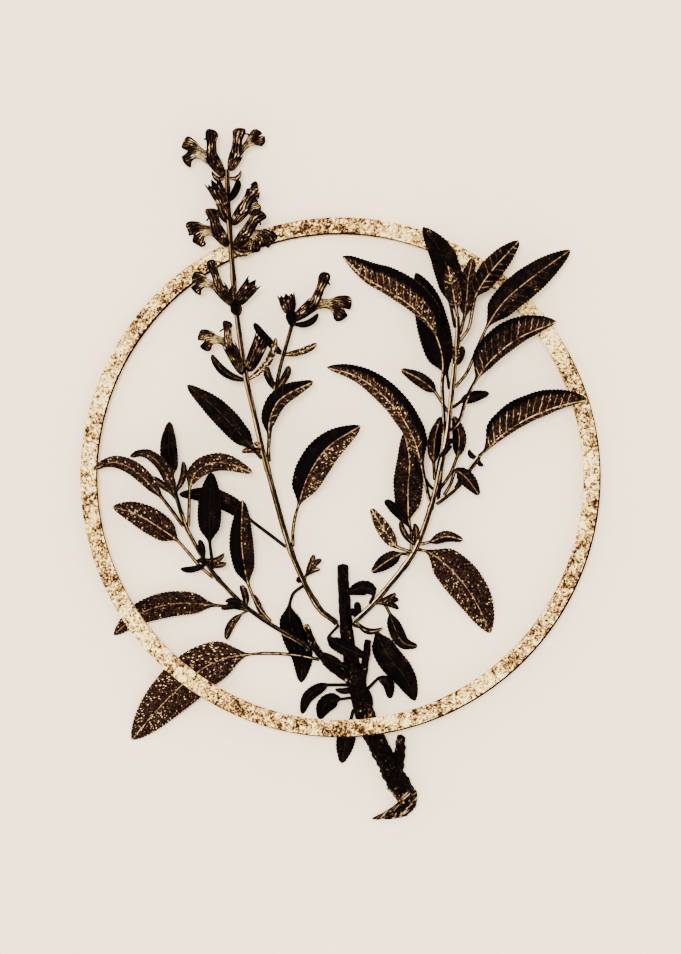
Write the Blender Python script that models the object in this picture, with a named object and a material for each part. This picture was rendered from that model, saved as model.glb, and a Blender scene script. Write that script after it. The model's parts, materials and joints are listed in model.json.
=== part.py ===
"""Flowering branch of garden sage, cut with its heel and threaded through a flat hoop.

It lies on a table. +Z is up, +X is to the right and +Y runs towards the top flowers. The
hoop leans on the woody base at one side and on the table at the other. Every route below
is in millimetres from one point near the hoop's centre, with z above the table.
"""

import math
from collections import namedtuple

import bmesh
import bpy
from mathutils import Vector

MM = 0.001

# Driving dimensions, in millimetres
SPRIG_LENGTH = 399.0  # heel to top flower, along Y
HOOP_DIAMETER = 300.0
HOOP_WIDTH = 10.0
HOOP_THICKNESS = 2.5
CLEARANCE = 0.3  # between any two pieces that touch
WOOD_GIRTH = 1.0  # thickness of the woody base against its own radii
STEM_RADIUS_BASE = 1.35
STEM_RADIUS_TIP = 0.9
PETIOLE_RADIUS = 0.7
LEAF_THICKNESS = 0.5  # half blade, from margin plane to upper face
LEAF_KEEL = 0.8  # depth of the midrib below the blade
LEAF_CAMBER = 0.12  # rise of each half blade between midrib and margin, against its width
CALYX_RADIUS = 3.9  # a wider one leans its flower out from the stem
TUBE_RADIUS = 2.9
LIP_HALF_WIDTH = 5.8
HOOD_HALF_WIDTH = 3.1
HOOD_THICKNESS = 1.5
LIP_THICKNESS = 0.9

# The routes were laid out for a branch of this length, and scale with SPRIG_LENGTH.
ROUTE_LENGTH = 399.0
SCALE = SPRIG_LENGTH / ROUTE_LENGTH
HOOP_CENTRE = Vector((-0.7, 0.8, 0))  # against the point that the routes are laid out from
ORIGIN_SHIFT = Vector((0.7, -2.5, 0))  # puts the origin under the middle of the whole object

HOOP_SEGMENTS = 96
STEM_SIDES = 8
WOOD_SIDES = 12
STUB_SIDES = 10
RINGS_PER_POINT = 1.5  # along a stem, against the points of its route
DIRECTION_STEP = 0.02  # how far apart two places are that a direction is taken from
BLADE_STATIONS = (0.0, 0.07, 0.17, 0.3, 0.44, 0.58, 0.72, 0.85, 0.95)
BLADE_OPENS = 0.12  # share of the blade over which a round petiole turns flat
TIP_THINNING = 0.5
PETIOLE_STEP = 9.0
PETIOLE_MOST = 0.8  # of a leaf's whole length
BASE_ROUND = 0.3  # how far a stalk's point stands out at each end, against its radius
TIP_ROUND = 0.6
CALYX_PROFILE = ((0.02, 0.25), (0.15, 0.52), (0.32, 0.85), (0.55, 1.05), (0.72, 1.15))
CALYX_LAID_OUT = 3.9  # the flowers were laid out for a calyx of this radius
STALK_GIVE = 0.5  # how far a wider calyx moves from the stem at its stalk, against its swelling
THROAT_GIVE = 2.2  # and at its throat
CALYX_MOUTH = 0.74  # share of the length from stem to throat that the bell covers
TUBE_FLARE = 1.15
PETAL_ROOT = 1.6  # how far inside the throat a petal starts
PETAL_ROUND = 0.5
HOOD_RISE = 0.8  # bow of each petal along the flower's axis
LIP_RISE = 1.5
HOOD_ROOT = 0.9  # half width of the hood inside the throat, against the tube's radius
HOOD_PROFILE = ((0.45, 0.9), (0.8, 1.0), (0.97, 0.4))  # share of length, share of half width
LIP_ROOT = 0.85
LIP_NECK = (0.5, 1.1)  # share of length, half width against the tube's radius
LIP_PROFILE = ((0.75, 1.0), (0.93, 0.7))
HOOP_SHARP = 40.0  # degrees between faces that meet in a crisp edge
BLADE_BASE_POWER = 0.55  # low is a round leaf base
BLADE_TIP_POWER = 0.72  # high is a pointed leaf tip

# Colours, as linear RGB with roughness and metallic
BARK = ((0.020, 0.011, 0.007), 0.7, 0.0)
STEM = ((0.060, 0.036, 0.018), 0.5, 0.3)
BLADE = ((0.022, 0.011, 0.008), 0.55, 0.2)
PETAL = ((0.090, 0.052, 0.024), 0.5, 0.3)
GOLD = ((0.80, 0.60, 0.34), 0.35, 0.9)


class Route:
    """A smooth line through hand-placed points, which at() counts from 0."""

    def __init__(self, points):
        self.points = [Vector(p) for p in points]
        self.knots = [0.0]
        for start, end in zip(self.points, self.points[1:]):
            self.knots.append(self.knots[-1] + (end - start).length)

    def slope(self, i):
        low = max(i - 1, 0)
        high = min(i + 1, len(self.points) - 1)
        return (self.points[high] - self.points[low]) / (self.knots[high] - self.knots[low])

    def at(self, place):
        i = min(int(place), len(self.points) - 2)
        t = place - i
        span = self.knots[i + 1] - self.knots[i]
        blend = (3 - 2 * t) * t * t
        bulge_in = span * t * (1 - t) * (1 - t)
        bulge_out = span * t * t * (t - 1)
        middle = self.points[i].lerp(self.points[i + 1], blend)
        return middle + self.slope(i) * bulge_in + self.slope(i + 1) * bulge_out

    def direction(self, place):
        last = len(self.points) - 1
        ahead = self.at(min(place + DIRECTION_STEP, last))
        behind = self.at(max(place - DIRECTION_STEP, 0))
        return (ahead - behind).normalized()

    def length_table(self, steps=16):
        """(arc length, place) pairs along the line."""
        count = steps * (len(self.points) - 1)
        table = [(0.0, 0.0)]
        before = self.at(0)
        for n in range(1, count + 1):
            place = n / steps
            here = self.at(place)
            table.append((table[-1][0] + (here - before).length, place))
            before = here
        return table


def place_at(table, length):
    """The place on a route at an arc length, read from its length table."""
    for (low, start), (high, end) in zip(table, table[1:]):
        if length <= high:
            return start + (end - start) * (length - low) / max(high - low, 1e-9)
    return table[-1][1]


# Woody base: x, y and radius. It lies on the table, so z is its radius.
WOOD = (
    (0.5, -50.0, 3.4),
    (1.5, -70.0, 3.5),
    (3.0, -90.0, 3.9),
    (5.5, -106.0, 4.6),
    (9.5, -121.0, 5.6),
    (13.5, -137.0, 6.0),
    (19.0, -150.0, 5.8),
    (26.0, -163.0, 6.1),
    (32.0, -175.0, 6.6),
    (37.5, -183.0, 6.4),
    (37.0, -188.8, 5.4),
    (31.5, -192.3, 4.0),
    (25.0, -194.6, 2.3),
    (17.5, -196.4, 0.6),
)
# Cut stubs that grow from the base: route and the radius at each end
STUBS = (
    (((31.5, -173, 7.0), (33.5, -162, 7.5), (34.2, -148.5, 8.5)), (3.4, 2.8)),
    (((10.0, -126, 6.5), (12.5, -112, 7.5), (15.0, -93.0, 9.0)), (3.2, 2.1)),
    (((8.0, -118, 5.8), (-4, -110, 5.8), (-14, -100, 6.0), (-20.5, -84.5, 7.5)), (3.0, 2.1)),
)
LEFT_STUB = 2

# Green stems: the piece each grows from, the place on it, and the route after that
Stem = namedtuple("Stem", "parent place route base tip")
STEMS = {
    "flowering_stem": Stem("woody_base", 1.65, (
        (-5, -81.5, 5.2), (-12, -76, 6.5), (-20, -63, 9), (-28, -45, 11.5), (-33, -30, 13),
        (-38, -12, 14.5), (-42.5, 5, 16), (-46.5, 20, 16.5), (-50.5, 38, 16.5), (-54.5, 55, 16),
        (-58.5, 80, 14), (-60.8, 98, 12), (-62.6, 117, 10.5), (-64, 135, 9.5), (-65, 150, 9),
        (-65.8, 165, 8.5), (-66, 178, 8.5)), STEM_RADIUS_BASE, STEM_RADIUS_TIP),
    "flower_side_stem": Stem("flowering_stem", 7.3, (
        (-42, 21, 13.8), (-40.3, 33, 13.2), (-38.8, 45, 13), (-37, 57, 13), (-34, 70, 12.5),
        (-30.5, 82, 12), (-28.5, 90, 11.5)), 0.9, 0.8),
    "right_stem": Stem("woody_base", 1.62, (
        (12, -78, 6.5), (20, -70, 8), (30, -58, 10), (40, -45, 12), (46, -32, 13),
        (50, -20, 14), (52.5, -12, 14.5), (55, -2, 15), (58, 12, 15.5), (60.5, 25, 16),
        (62, 38, 16), (63.5, 52, 16), (65, 66, 16), (66.5, 80, 16), (66.5, 93, 16)),
        STEM_RADIUS_BASE, STEM_RADIUS_TIP),
    "right_side_stem": Stem("right_stem", 6.8, (
        (58.5, -11.5, 14), (66, -5, 13.5), (73.5, 5, 13.3), (79, 12.5, 13.3)), 1.1, 0.9),
    "left_stem": Stem("left_stub", 2.2, (
        (-21, -96, 7), (-28, -91.5, 8), (-41, -84, 9), (-53, -75.5, 10), (-63, -66.5, 10.5),
        (-73, -55.5, 11), (-82, -42, 12), (-89.5, -28, 12.5), (-93.5, -16, 13), (-96.5, -5, 13.5)),
        1.1, 0.8),
}

# Leaves: stem, place on it, route from there to the tip, petiole length, width of the left
# and right halves seen from the stem, roll about the midrib (right half down) and fold of
# each half (up is positive), in degrees
Leaf = namedtuple("Leaf", "stem place route petiole left right roll fold")
LEAVES = {
    # Left shoot
    "left_leaf_top": Leaf("left_stem", 10.0, (
        (-98, 4, 14.5), (-99.5, 18, 16.5), (-99, 33, 14)), 5, 5.2, 5.2, 0, 14),
    "left_leaf_arched": Leaf("left_stem", 8.7, (
        (-97, -6, 19), (-104, 8, 23.5), (-113, 14.5, 22), (-122, 12.5, 17)), 10, 3.6, 3.8, -15, -10),
    "left_leaf_outer": Leaf("left_stem", 8.15, (
        (-99.5, -16, 16), (-108.5, -5, 18), (-120, 5.5, 19), (-132, 9.5, 17), (-143, 5.5, 12)),
        20, 4.2, 4.8, -12, -12),
    "left_leaf_broad": Leaf("left_stem", 6.0, (
        (-83.5, -48.5, 10.5), (-93, -37, 11), (-103, -29.5, 12.5), (-118, -20.5, 13.5),
        (-132, -16, 12.5)), 29, 6.9, 8.2, 0, -6),
    "left_leaf_over": Leaf("left_stem", 8.05, (
        (-87.8, -18, 15), (-87.2, -5, 19), (-82.5, 5, 23), (-69, 9.5, 25), (-51, 3.5, 22)),
        22, 5.6, 5.4, 8, -12),
    "left_leaf_inner": Leaf("left_stem", 6.25, (
        (-75.3, -42, 14), (-76, -34.5, 15), (-76, -15, 17.5), (-75, 4, 16)), 15, 7.0, 7.0, 0, -10),
    "left_leaf_tall": Leaf("left_stem", 3.1, (
        (-47, -75, 12.5), (-53.5, -61.5, 14), (-57.5, -38, 17), (-57, -12, 14.5)), 25, 7.2, 7.0, 0, -10),
    "left_leaf_low": Leaf("left_stem", 4.2, (
        (-66, -73.6, 7.5), (-74.5, -72.8, 6.5), (-96.5, -72, 6.5), (-116.8, -78, 5.0), (-132, -90.5, 0.5)),
        17, 7.4, 7.4, 0, 8),
    "left_leaf_large": Leaf("left_stub", 1.85, (
        (-30, -101.3, 5.0), (-54, -101.3, 6.0), (-76, -107, 8.0), (-98.5, -125, 6.0), (-121.5, -151, 0.5)),
        39, 12.5, 13.8, 0, 8),
    # Along the flowering stem
    "stem_leaf_behind": Leaf("flowering_stem", 4.45, (
        (-41, -32.5, 11), (-51, -25, 10), (-64, -15, 9), (-78, -9.5, 8), (-94, -9, 6.5)),
        25, 5.2, 5.2, 0, -6),
    "stem_leaf_left": Leaf("flowering_stem", 7.5, (
        (-51, 17.5, 19.5), (-60, 27.5, 20.5), (-73, 41, 21), (-89, 54, 17.5)), 6, 6.6, 6.8, 8, -12),
    "stem_leaf_right": Leaf("flowering_stem", 7.45, (
        (-41.8, 20, 19), (-41.5, 33, 21), (-35.5, 45.5, 21.5), (-16, 56, 17)), 14, 6.2, 5.2, 12, -12),
    "stem_leaf_broad": Leaf("flowering_stem", 4.4, (
        (-27.8, -27, 14), (-24.5, -14, 16), (-19, 2, 20), (-8, 18, 21.5), (11, 30.5, 17)),
        24, 9.4, 9.6, 0, -12),
    "stem_leaf_drooping": Leaf("flowering_stem", 3.1, (
        (-26.5, -64, 7.6), (-30, -72, 5.4), (-29, -86, 3.2), (-23, -102, 2.6), (-23.5, -118, 1.4)),
        14, 7.2, 7.2, 0, -4),
    # Right shoot
    "right_leaf_long": Leaf("right_stem", 10.1, (
        (58.3, 40, 18.5), (57.5, 53, 20.5), (58.3, 67, 22.5), (55, 80.5, 25), (46, 93.5, 28),
        (30.5, 105.5, 28), (14, 115, 24), (0, 128, 18)), 56, 4.6, 13.5, -24, -30),
    "right_leaf_dark": Leaf("right_stem", 12.0, (
        (60.5, 60, 13.5), (56.5, 72, 12.5), (52.5, 88, 12.5), (48.8, 104, 12), (42.5, 119, 9.5)),
        8, 9.4, 9.4, 0, -8),
    "right_leaf_top": Leaf("right_stem", 14.6, (
        (62.8, 95, 18.5), (62.5, 111, 20.5), (57.5, 129, 19.5), (46.5, 145, 14)), 12, 7.8, 7.8, 0, -10),
    "right_leaf_centre": Leaf("right_stem", 15.0, (
        (65.3, 99, 21.5), (63.5, 109, 24), (61, 122, 23.5)), 5, 4.6, 4.6, 0, -14),
    "right_leaf_behind": Leaf("right_stem", 14.3, (
        (70.5, 93, 13), (72.0, 104, 12), (72.8, 115, 11.5), (75.5, 127.5, 10)), 10, 4.9, 4.9, 0, -10),
    "right_leaf_veined": Leaf("right_stem", 14.0, (
        (71.2, 81.5, 17.5), (74.2, 92, 19), (76.5, 104, 20.5), (85, 118, 22), (102, 137, 16)),
        27, 7.2, 6.4, 0, -12),
    "right_leaf_far": Leaf("right_stem", 12.1, (
        (71, 59.5, 17.5), (76.5, 71.5, 19), (83, 86.5, 21), (93, 101.5, 23), (110, 116, 21),
        (132, 132, 11)), 39, 8.4, 9.2, 0, -12),
    "right_leaf_folded": Leaf("right_stem", 10.2, (
        (66.5, 30.5, 18.5), (70.3, 41.5, 20.5), (75.5, 54, 22.5), (85.5, 68, 24.5), (101, 80.5, 23),
        (124, 90.5, 14)), 34, 12.6, 6.6, 26, -30),
    "right_leaf_reaching": Leaf("right_side_stem", 4.0, (
        (83.5, 17, 15.5), (93.3, 26.3, 18), (108, 35.3, 20), (125.5, 42, 18.5), (142, 45.5, 12)),
        4, 13.0, 4.8, 24, -30),
    "right_leaf_great": Leaf("right_stem", 6.9, (
        (48.3, -4, 18), (45.3, 10, 22), (39.5, 27, 27), (26, 45.5, 29), (9, 58.5, 26), (-9, 64, 19)),
        20, 7.0, 9.0, -22, -26),
    "right_leaf_small_left": Leaf("right_stem", 11.1, (
        (57.5, 43.5, 13.4), (54, 49.5, 14), (46, 56.5, 15.5), (34, 63, 13.5)), 12, 4.2, 4.2, 0, -10),
    "right_leaf_small_right": Leaf("right_stem", 11.25, (
        (66.5, 43.3, 15.0), (75, 47, 15.4), (85, 49.3, 13.5)), 5, 3.4, 3.4, 0, -10),
    "right_leaf_oval_left": Leaf("right_stem", 8.1, (
        (53.0, 6, 13.5), (53.0, 14, 12.5), (54.0, 25, 11), (57.3, 36, 9)), 9, 4.1, 4.1, 0, -10),
    "right_leaf_oval_right": Leaf("right_stem", 7.6, (
        (60.2, -1.5, 13), (63.5, 5.5, 12.5), (66.7, 14, 11.5), (67.6, 25, 11), (64.5, 36.5, 9)),
        22, 4.1, 4.1, 0, -10),
    "right_leaf_upright": Leaf("right_stem", 4.25, (
        (40.2, -33, 10.5), (38.6, -23.5, 10), (38.2, -5, 10.5), (39, 11, 10.5), (36, 27, 8.5)),
        17, 8.6, 8.8, 0, -8),
    "right_leaf_side": Leaf("right_side_stem", 1.2, (
        (62.2, -4, 16.5), (65.5, 4.2, 18), (71.5, 0.5, 18.5), (79, -9.3, 15.5)), 14, 4.5, 4.5, 0, -10),
    "right_leaf_drooping": Leaf("right_stem", 4.4, (
        (49.5, -42, 11.5), (60.8, -50.2, 12), (75.3, -67.5, 8.5), (86, -89.5, 0.5)), 4, 11.4, 10.2, 0, -8),
    "right_leaf_narrow": Leaf("right_stem", 4.65, (
        (52, -36, 15), (60, -33.2, 16.5), (70, -35.3, 13.5)), 5, 3.4, 3.4, 0, -10),
    "right_leaf_lower": Leaf("right_stem", 4.05, (
        (36, -42.5, 14), (27.5, -46.5, 14.5), (17, -54, 11)), 5, 4.5, 4.5, 0, -10),
    "right_leaf_gilt": Leaf("right_stem", 4.18, (
        (36, -40.8, 16.5), (31, -38.5, 17.5), (24.5, -29.5, 18.5), (16.8, -17, 15.5)), 9, 4.2, 4.2, 0, -10),
    # Round the woody base
    "base_leaf_cupped": Leaf("right_stem", 1.7, (
        (18.4, -67.8, 11), (15.8, -63.4, 13), (10, -63.2, 13.2), (3, -66, 11.5)), 5, 4.4, 4.4, 0, -12),
    "base_leaf_twisted": Leaf("right_stem", 2.15, (
        (27, -76, 7.5), (30, -84.5, 7.5), (35.5, -94.5, 5.5), (44, -97, 3.5)), 9, 4.4, 4.2, 0, -8),
    "base_leaf_long": Leaf("woody_base", 1.75, (
        (13.5, -84.5, 6.2), (19.5, -89, 6.6), (26.5, -102, 7.5), (36.5, -114.5, 5.5), (42.5, -128.5, 1.5)),
        13, 7.6, 7.6, 0, -8),
    "base_leaf_crossing": Leaf("woody_base", 1.72, (
        (-6.4, -87, 7.5), (-6.5, -92.2, 10), (-1, -96, 13), (6.5, -99.4, 14.5), (14.5, -102, 13.5)),
        9, 4.4, 4.4, 0, -10),
    "base_leaf_left": Leaf("woody_base", 3.75, (
        (-1, -119, 7), (-9.5, -119.3, 8), (-19.5, -126, 4.8), (-23, -136, 1.3)), 10, 3.6, 3.6, 0, -12),
    "base_leaf_right": Leaf("woody_base", 4.05, (
        (18, -118, 8), (21, -115.3, 9), (26.5, -117.8, 7.5), (28, -127, 3.4)), 7, 3.4, 3.4, 0, -10),
    "base_leaf_bent": Leaf("woody_base", 4.25, (
        (2.5, -127.5, 6.5), (-3, -127, 7.5), (-9.5, -130.5, 6), (-13, -139, 1.2)), 5, 5.0, 5.0, 0, -12),
    "base_leaf_under": Leaf("woody_base", 4.8, (
        (5.5, -137.5, 4.2), (4.2, -144, 4.6), (2, -153, 3.4), (0, -164.5, 1.0)), 4, 5.4, 5.4, 0, -6),
}

# Flowers: stem, place on it, and the ends of the throat, the hood and the lower lip.
# One with no hood or lip is a toothed calyx whose corolla has dropped or not yet opened.
Flower = namedtuple("Flower", "stem place throat hood lip")
FLOWERS = {
    "flower_top_left": Flower(
        "flowering_stem", 16.7, (-76, 186.5, 12), (-74, 200.5, 13), (-92.5, 188.5, 10)),
    "flower_top_right": Flower(
        "flowering_stem", 16.95, (-60, 188.5, 12), (-58.8, 201.5, 12.5), (-45, 198.5, 11)),
    "flower_third_right": Flower(
        "flowering_stem", 14.75, (-55, 157, 15), (-50.5, 166, 16), (-46.5, 159.5, 13.5)),
    "flower_second_left": Flower(
        "flowering_stem", 13.95, (-73, 144.5, 15), (-74.5, 155, 16), (-87.5, 138, 11)),
    "flower_second_right": Flower(
        "flowering_stem", 13.85, (-53, 143.5, 15), (-46, 153.5, 16), (-44.5, 131.5, 11)),
    "flower_first_left": Flower(
        "flowering_stem", 12.1, (-71.5, 112, 17), (-75, 125.5, 17.5), (-87, 112, 13)),
    "flower_low_left": Flower(
        "flowering_stem", 10.2, (-66, 80, 20), (-65, 90, 21), (-82.5, 78, 16.5)),
    "flower_side": Flower(
        "flower_side_stem", 7.0, (-14, 102.5, 14), (-9.5, 118.5, 15.5), (4.5, 96, 12)),
    "calyx_third_left": Flower("flowering_stem", 15.45, (-74, 170, 14), None, None),
    "calyx_first_right": Flower("flowering_stem", 12.2, (-51, 112.5, 17), None, None),
    "calyx_low_right": Flower("flowering_stem", 10.25, (-45.5, 81, 20), None, None),
}


def scaled(points):
    return [Vector(p) * SCALE for p in points]


def wood_route():
    return Route([Vector((x, y, r * WOOD_GIRTH)) * SCALE for x, y, r in WOOD])


def wood_radius(place):
    radii = [r for x, y, r in WOOD]
    i = min(int(place), len(radii) - 2)
    return (radii[i] + (radii[i + 1] - radii[i]) * (place - i)) * WOOD_GIRTH * SCALE


def stub_route(index):
    return Route([Vector((x, y, z * WOOD_GIRTH)) * SCALE for x, y, z in STUBS[index][0]])


def stub_radius(index, place):
    base, tip = STUBS[index][1]
    share = place / (len(STUBS[index][0]) - 1)
    return (base + (tip - base) * share) * WOOD_GIRTH * SCALE


def carrier(name):
    """The route of the piece that a stem, leaf or flower grows from, and its radius there."""
    if name == "woody_base":
        return wood_route(), wood_radius
    if name == "left_stub":
        return stub_route(LEFT_STUB), lambda place: stub_radius(LEFT_STUB, place)
    stem = STEMS[name]
    route = stem_route(name)
    last = len(route.points) - 1
    return route, lambda place: stem.base + (stem.tip - stem.base) * place / last


def at_end(route, place):
    return place >= len(route.points) - 1


def outward(route, place, towards):
    """The way out of a stalk at a place on it: along it at its end, else square to it."""
    along = route.direction(place)
    if at_end(route, place):
        return along
    away = towards - route.at(place)
    away -= along * away.dot(along)
    return away.normalized()


def start_on(name, place, towards, radius):
    """Where a stalk of this radius starts, clear of the piece that carries it."""
    route, thickness = carrier(name)
    gap = thickness(place) + CLEARANCE + radius
    if at_end(route, place):
        gap = CLEARANCE + TIP_ROUND * thickness(place) + BASE_ROUND * radius
    return route.at(place) + outward(route, place, towards) * gap


def stem_route(name):
    stem = STEMS[name]
    points = scaled(stem.route)
    return Route([start_on(stem.parent, stem.place, points[0], stem.base)] + points)


def material(name, look):
    colour, roughness, metallic = look
    made = bpy.data.materials.get(name) or bpy.data.materials.new(name)
    made.use_nodes = True
    shader = made.node_tree.nodes["Principled BSDF"]
    shader.inputs["Base Color"].default_value = (*colour, 1.0)
    shader.inputs["Roughness"].default_value = roughness
    shader.inputs["Metallic"].default_value = metallic
    return made


def loft(name, rings, base, tip, look_name, look):
    """A closed skin over rings of equally many points, drawn to a point at each end."""
    mesh = bpy.data.meshes.new(name)
    shape = bmesh.new()
    rows = [[shape.verts.new(p * MM) for p in ring] for ring in rings]
    sides = len(rings[0])
    for row, after in zip(rows, rows[1:]):
        for i in range(sides):
            j = (i + 1) % sides
            shape.faces.new((row[i], row[j], after[j]))
            shape.faces.new((row[i], after[j], after[i]))
    ends = ((base, rows[0], 1), (tip, rows[-1], -1))
    for point, row, way in ends:
        pole = shape.verts.new(point * MM)
        for i in range(sides):
            j = (i + 1) % sides
            corners = (row[j], row[i], pole) if way > 0 else (row[i], row[j], pole)
            shape.faces.new(corners)
    bmesh.ops.recalc_face_normals(shape, faces=shape.faces)
    shape.to_mesh(mesh)
    shape.free()
    mesh.shade_smooth()
    made = bpy.data.objects.new(name, mesh)
    made.data.materials.append(material(look_name, look))
    bpy.context.scene.collection.objects.link(made)
    return made


def level_frame(along):
    """(side to the right of a direction, up) with the side level."""
    side = along.cross(Vector((0, 0, 1))).normalized()
    return side, side.cross(along)


def round_ring(centre, along, radius, sides, flat=1.0):
    side, up = level_frame(along)
    ring = []
    for i in range(sides):
        angle = 2 * math.pi * (i + 0.5) / sides
        ring.append(centre + side * (radius * math.cos(angle)) + up * (flat * radius * math.sin(angle)))
    return ring


def tube(name, route, radius_at, sides, look_name, look, tip_round=TIP_ROUND):
    """A round stalk along a route, whose radius is a function of the place on it."""
    last = len(route.points) - 1
    count = max(2, round(last * RINGS_PER_POINT))
    places = [last * n / count for n in range(count + 1)]
    rings = [round_ring(route.at(p), route.direction(p), radius_at(p), sides) for p in places]
    base = route.at(0) - route.direction(0) * (BASE_ROUND * radius_at(0))
    tip = route.at(last) + route.direction(last) * (tip_round * radius_at(last))
    return loft(name, rings, base, tip, look_name, look)


def union(body, others):
    """Joins other solids into a body and removes them."""
    for other in others:
        join = body.modifiers.new("join", "BOOLEAN")
        join.operation = "UNION"
        join.object = other
        other.hide_render = True
        other.display_type = "WIRE"
    bpy.context.view_layer.update()
    graph = bpy.context.evaluated_depsgraph_get()
    joined = bpy.data.meshes.new_from_object(body.evaluated_get(graph))
    body.modifiers.clear()
    body.data = joined
    for other in others:
        bpy.data.objects.remove(other)
    return body


def build_wood():
    route = wood_route()
    trunk = tube("woody_base", route, wood_radius, WOOD_SIDES, "bark", BARK, tip_round=1.0)
    stubs = []
    for index in range(len(STUBS)):
        radius = lambda place, index=index: stub_radius(index, place)
        stubs.append(tube(f"stub_{index}", stub_route(index), radius, STUB_SIDES, "bark", BARK))
    return union(trunk, stubs)


def build_stem(name):
    route, radius = carrier(name)
    return tube(name, route, radius, STEM_SIDES, "stem", STEM)


def blade_share(v):
    """Half width of a blade at a share of its length, against its greatest half width."""
    a, b = BLADE_BASE_POWER, BLADE_TIP_POWER
    peak = a / (a + b)
    return (v / peak) ** a * ((1 - v) / (1 - peak)) ** b


def leaf_ring(centre, side, up, halves, fold, thickness, keel, flatness):
    """Left margin, three points of the upper face, right margin and the keel of the midrib.
    flatness runs from 0, a round petiole, to 1, a blade."""
    left, right = halves
    out_left = up * math.sin(fold) - side * math.cos(fold)
    out_right = up * math.sin(fold) + side * math.cos(fold)
    over_left = up * math.cos(fold) + side * math.sin(fold)
    over_right = up * math.cos(fold) - side * math.sin(fold)
    blade = (
        out_left * left,
        out_left * (left / 2) + over_left * (thickness + LEAF_CAMBER * left),
        up * thickness,
        out_right * (right / 2) + over_right * (thickness + LEAF_CAMBER * right),
        out_right * right,
        up * -keel,
    )
    slant = PETIOLE_RADIUS / math.sqrt(2)
    stalk = (
        side * -PETIOLE_RADIUS,
        side * -slant + up * slant,
        up * PETIOLE_RADIUS,
        side * slant + up * slant,
        side * PETIOLE_RADIUS,
        up * -PETIOLE_RADIUS,
    )
    return [centre + a.lerp(b, flatness) for a, b in zip(stalk, blade)]


def build_leaf(name):
    leaf = LEAVES[name]
    points = scaled(leaf.route)
    route = Route([start_on(leaf.stem, leaf.place, points[0], PETIOLE_RADIUS)] + points)
    table = route.length_table()
    whole = table[-1][0]
    petiole = min(leaf.petiole * SCALE, PETIOLE_MOST * whole)
    blade = whole - petiole
    stalk_rings = max(1, round(petiole / PETIOLE_STEP))
    lengths = [(petiole * n / stalk_rings, 0.0) for n in range(stalk_rings)]
    lengths += [(petiole + blade * v, v) for v in BLADE_STATIONS]
    roll = math.radians(leaf.roll)
    fold = math.radians(leaf.fold)
    rings = []
    for length, v in lengths:
        place = place_at(table, length)
        along = route.direction(place)
        level, rise = level_frame(along)
        side = level * math.cos(roll) - rise * math.sin(roll)
        up = rise * math.cos(roll) + level * math.sin(roll)
        share = blade_share(v) if v > 0 else 0.0
        halves = [max(PETIOLE_RADIUS, half * SCALE * share) for half in (leaf.left, leaf.right)]
        flatness = min(1.0, v / BLADE_OPENS)
        thin = 1 - TIP_THINNING * v
        rings.append(leaf_ring(route.at(place), side, up, halves, fold,
                               LEAF_THICKNESS * thin, LEAF_KEEL * thin, flatness))
    base = route.at(0) - route.direction(0) * (BASE_ROUND * PETIOLE_RADIUS)
    return loft(name, rings, base, route.at(len(route.points) - 1), "leaf", BLADE)


def lofted_profile(name, start, end, profile, tip_reach):
    """A round body from start to end, with a radius at each share of the length between."""
    axis = (end - start).normalized()
    rings = [round_ring(start.lerp(end, share), axis, radius, STEM_SIDES) for share, radius in profile]
    return loft(name, rings, start, end + axis * tip_reach, "petal", PETAL)


def build_calyx(name, start, throat):
    """A bell that opens towards the throat, with the corolla's tube standing out of its mouth."""
    bell = [(share, CALYX_RADIUS * girth) for share, girth in CALYX_PROFILE]
    tube_part = [(CALYX_MOUTH, TUBE_RADIUS), (1.0, TUBE_RADIUS * TUBE_FLARE)]
    return lofted_profile(name, start, throat, bell + tube_part, PETAL_ROUND)


def petal(name, throat, axis, end, rise, profile, thickness):
    """A flat lobe from inside the throat to its end, bowed along the flower's axis."""
    inside = throat - axis * PETAL_ROOT
    route = Route((inside, throat.lerp(end, 0.5) + axis * rise, end))
    rings = []
    for share, half_width in profile:
        place = 2 * share
        flat = thickness / half_width
        rings.append(round_ring(route.at(place), route.direction(place), half_width, STEM_SIDES, flat))
    start = inside - route.direction(0) * PETAL_ROUND
    return loft(name, rings, start, end + route.direction(2) * PETAL_ROUND, "petal", PETAL)


def build_flower(name):
    flower = FLOWERS[name]
    swelling = CALYX_RADIUS - CALYX_LAID_OUT
    throat = Vector(flower.throat) * SCALE
    lean = outward(carrier(flower.stem)[0], flower.place, throat) * (THROAT_GIVE * swelling)
    throat += lean
    start = start_on(flower.stem, flower.place, throat, PETIOLE_RADIUS + STALK_GIVE * swelling)
    calyx = build_calyx(name, start, throat)
    if flower.hood is None:
        return calyx
    axis = (throat - start).normalized()
    hood_end = Vector(flower.hood) * SCALE + lean
    hood_widths = [(share, HOOD_HALF_WIDTH * width) for share, width in HOOD_PROFILE]
    hood_widths.insert(0, (0.0, TUBE_RADIUS * HOOD_ROOT))
    hood = petal("hood", throat, axis, hood_end, HOOD_RISE, hood_widths, HOOD_THICKNESS)
    lip_end = Vector(flower.lip) * SCALE + lean
    lip_widths = [(share, LIP_HALF_WIDTH * width) for share, width in LIP_PROFILE]
    lip_widths.insert(0, (LIP_NECK[0], TUBE_RADIUS * LIP_NECK[1]))
    lip_widths.insert(0, (0.0, TUBE_RADIUS * LIP_ROOT))
    lip = petal("lip", throat, axis, lip_end, LIP_RISE, lip_widths, LIP_THICKNESS)
    return union(calyx, [hood, lip])


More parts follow.
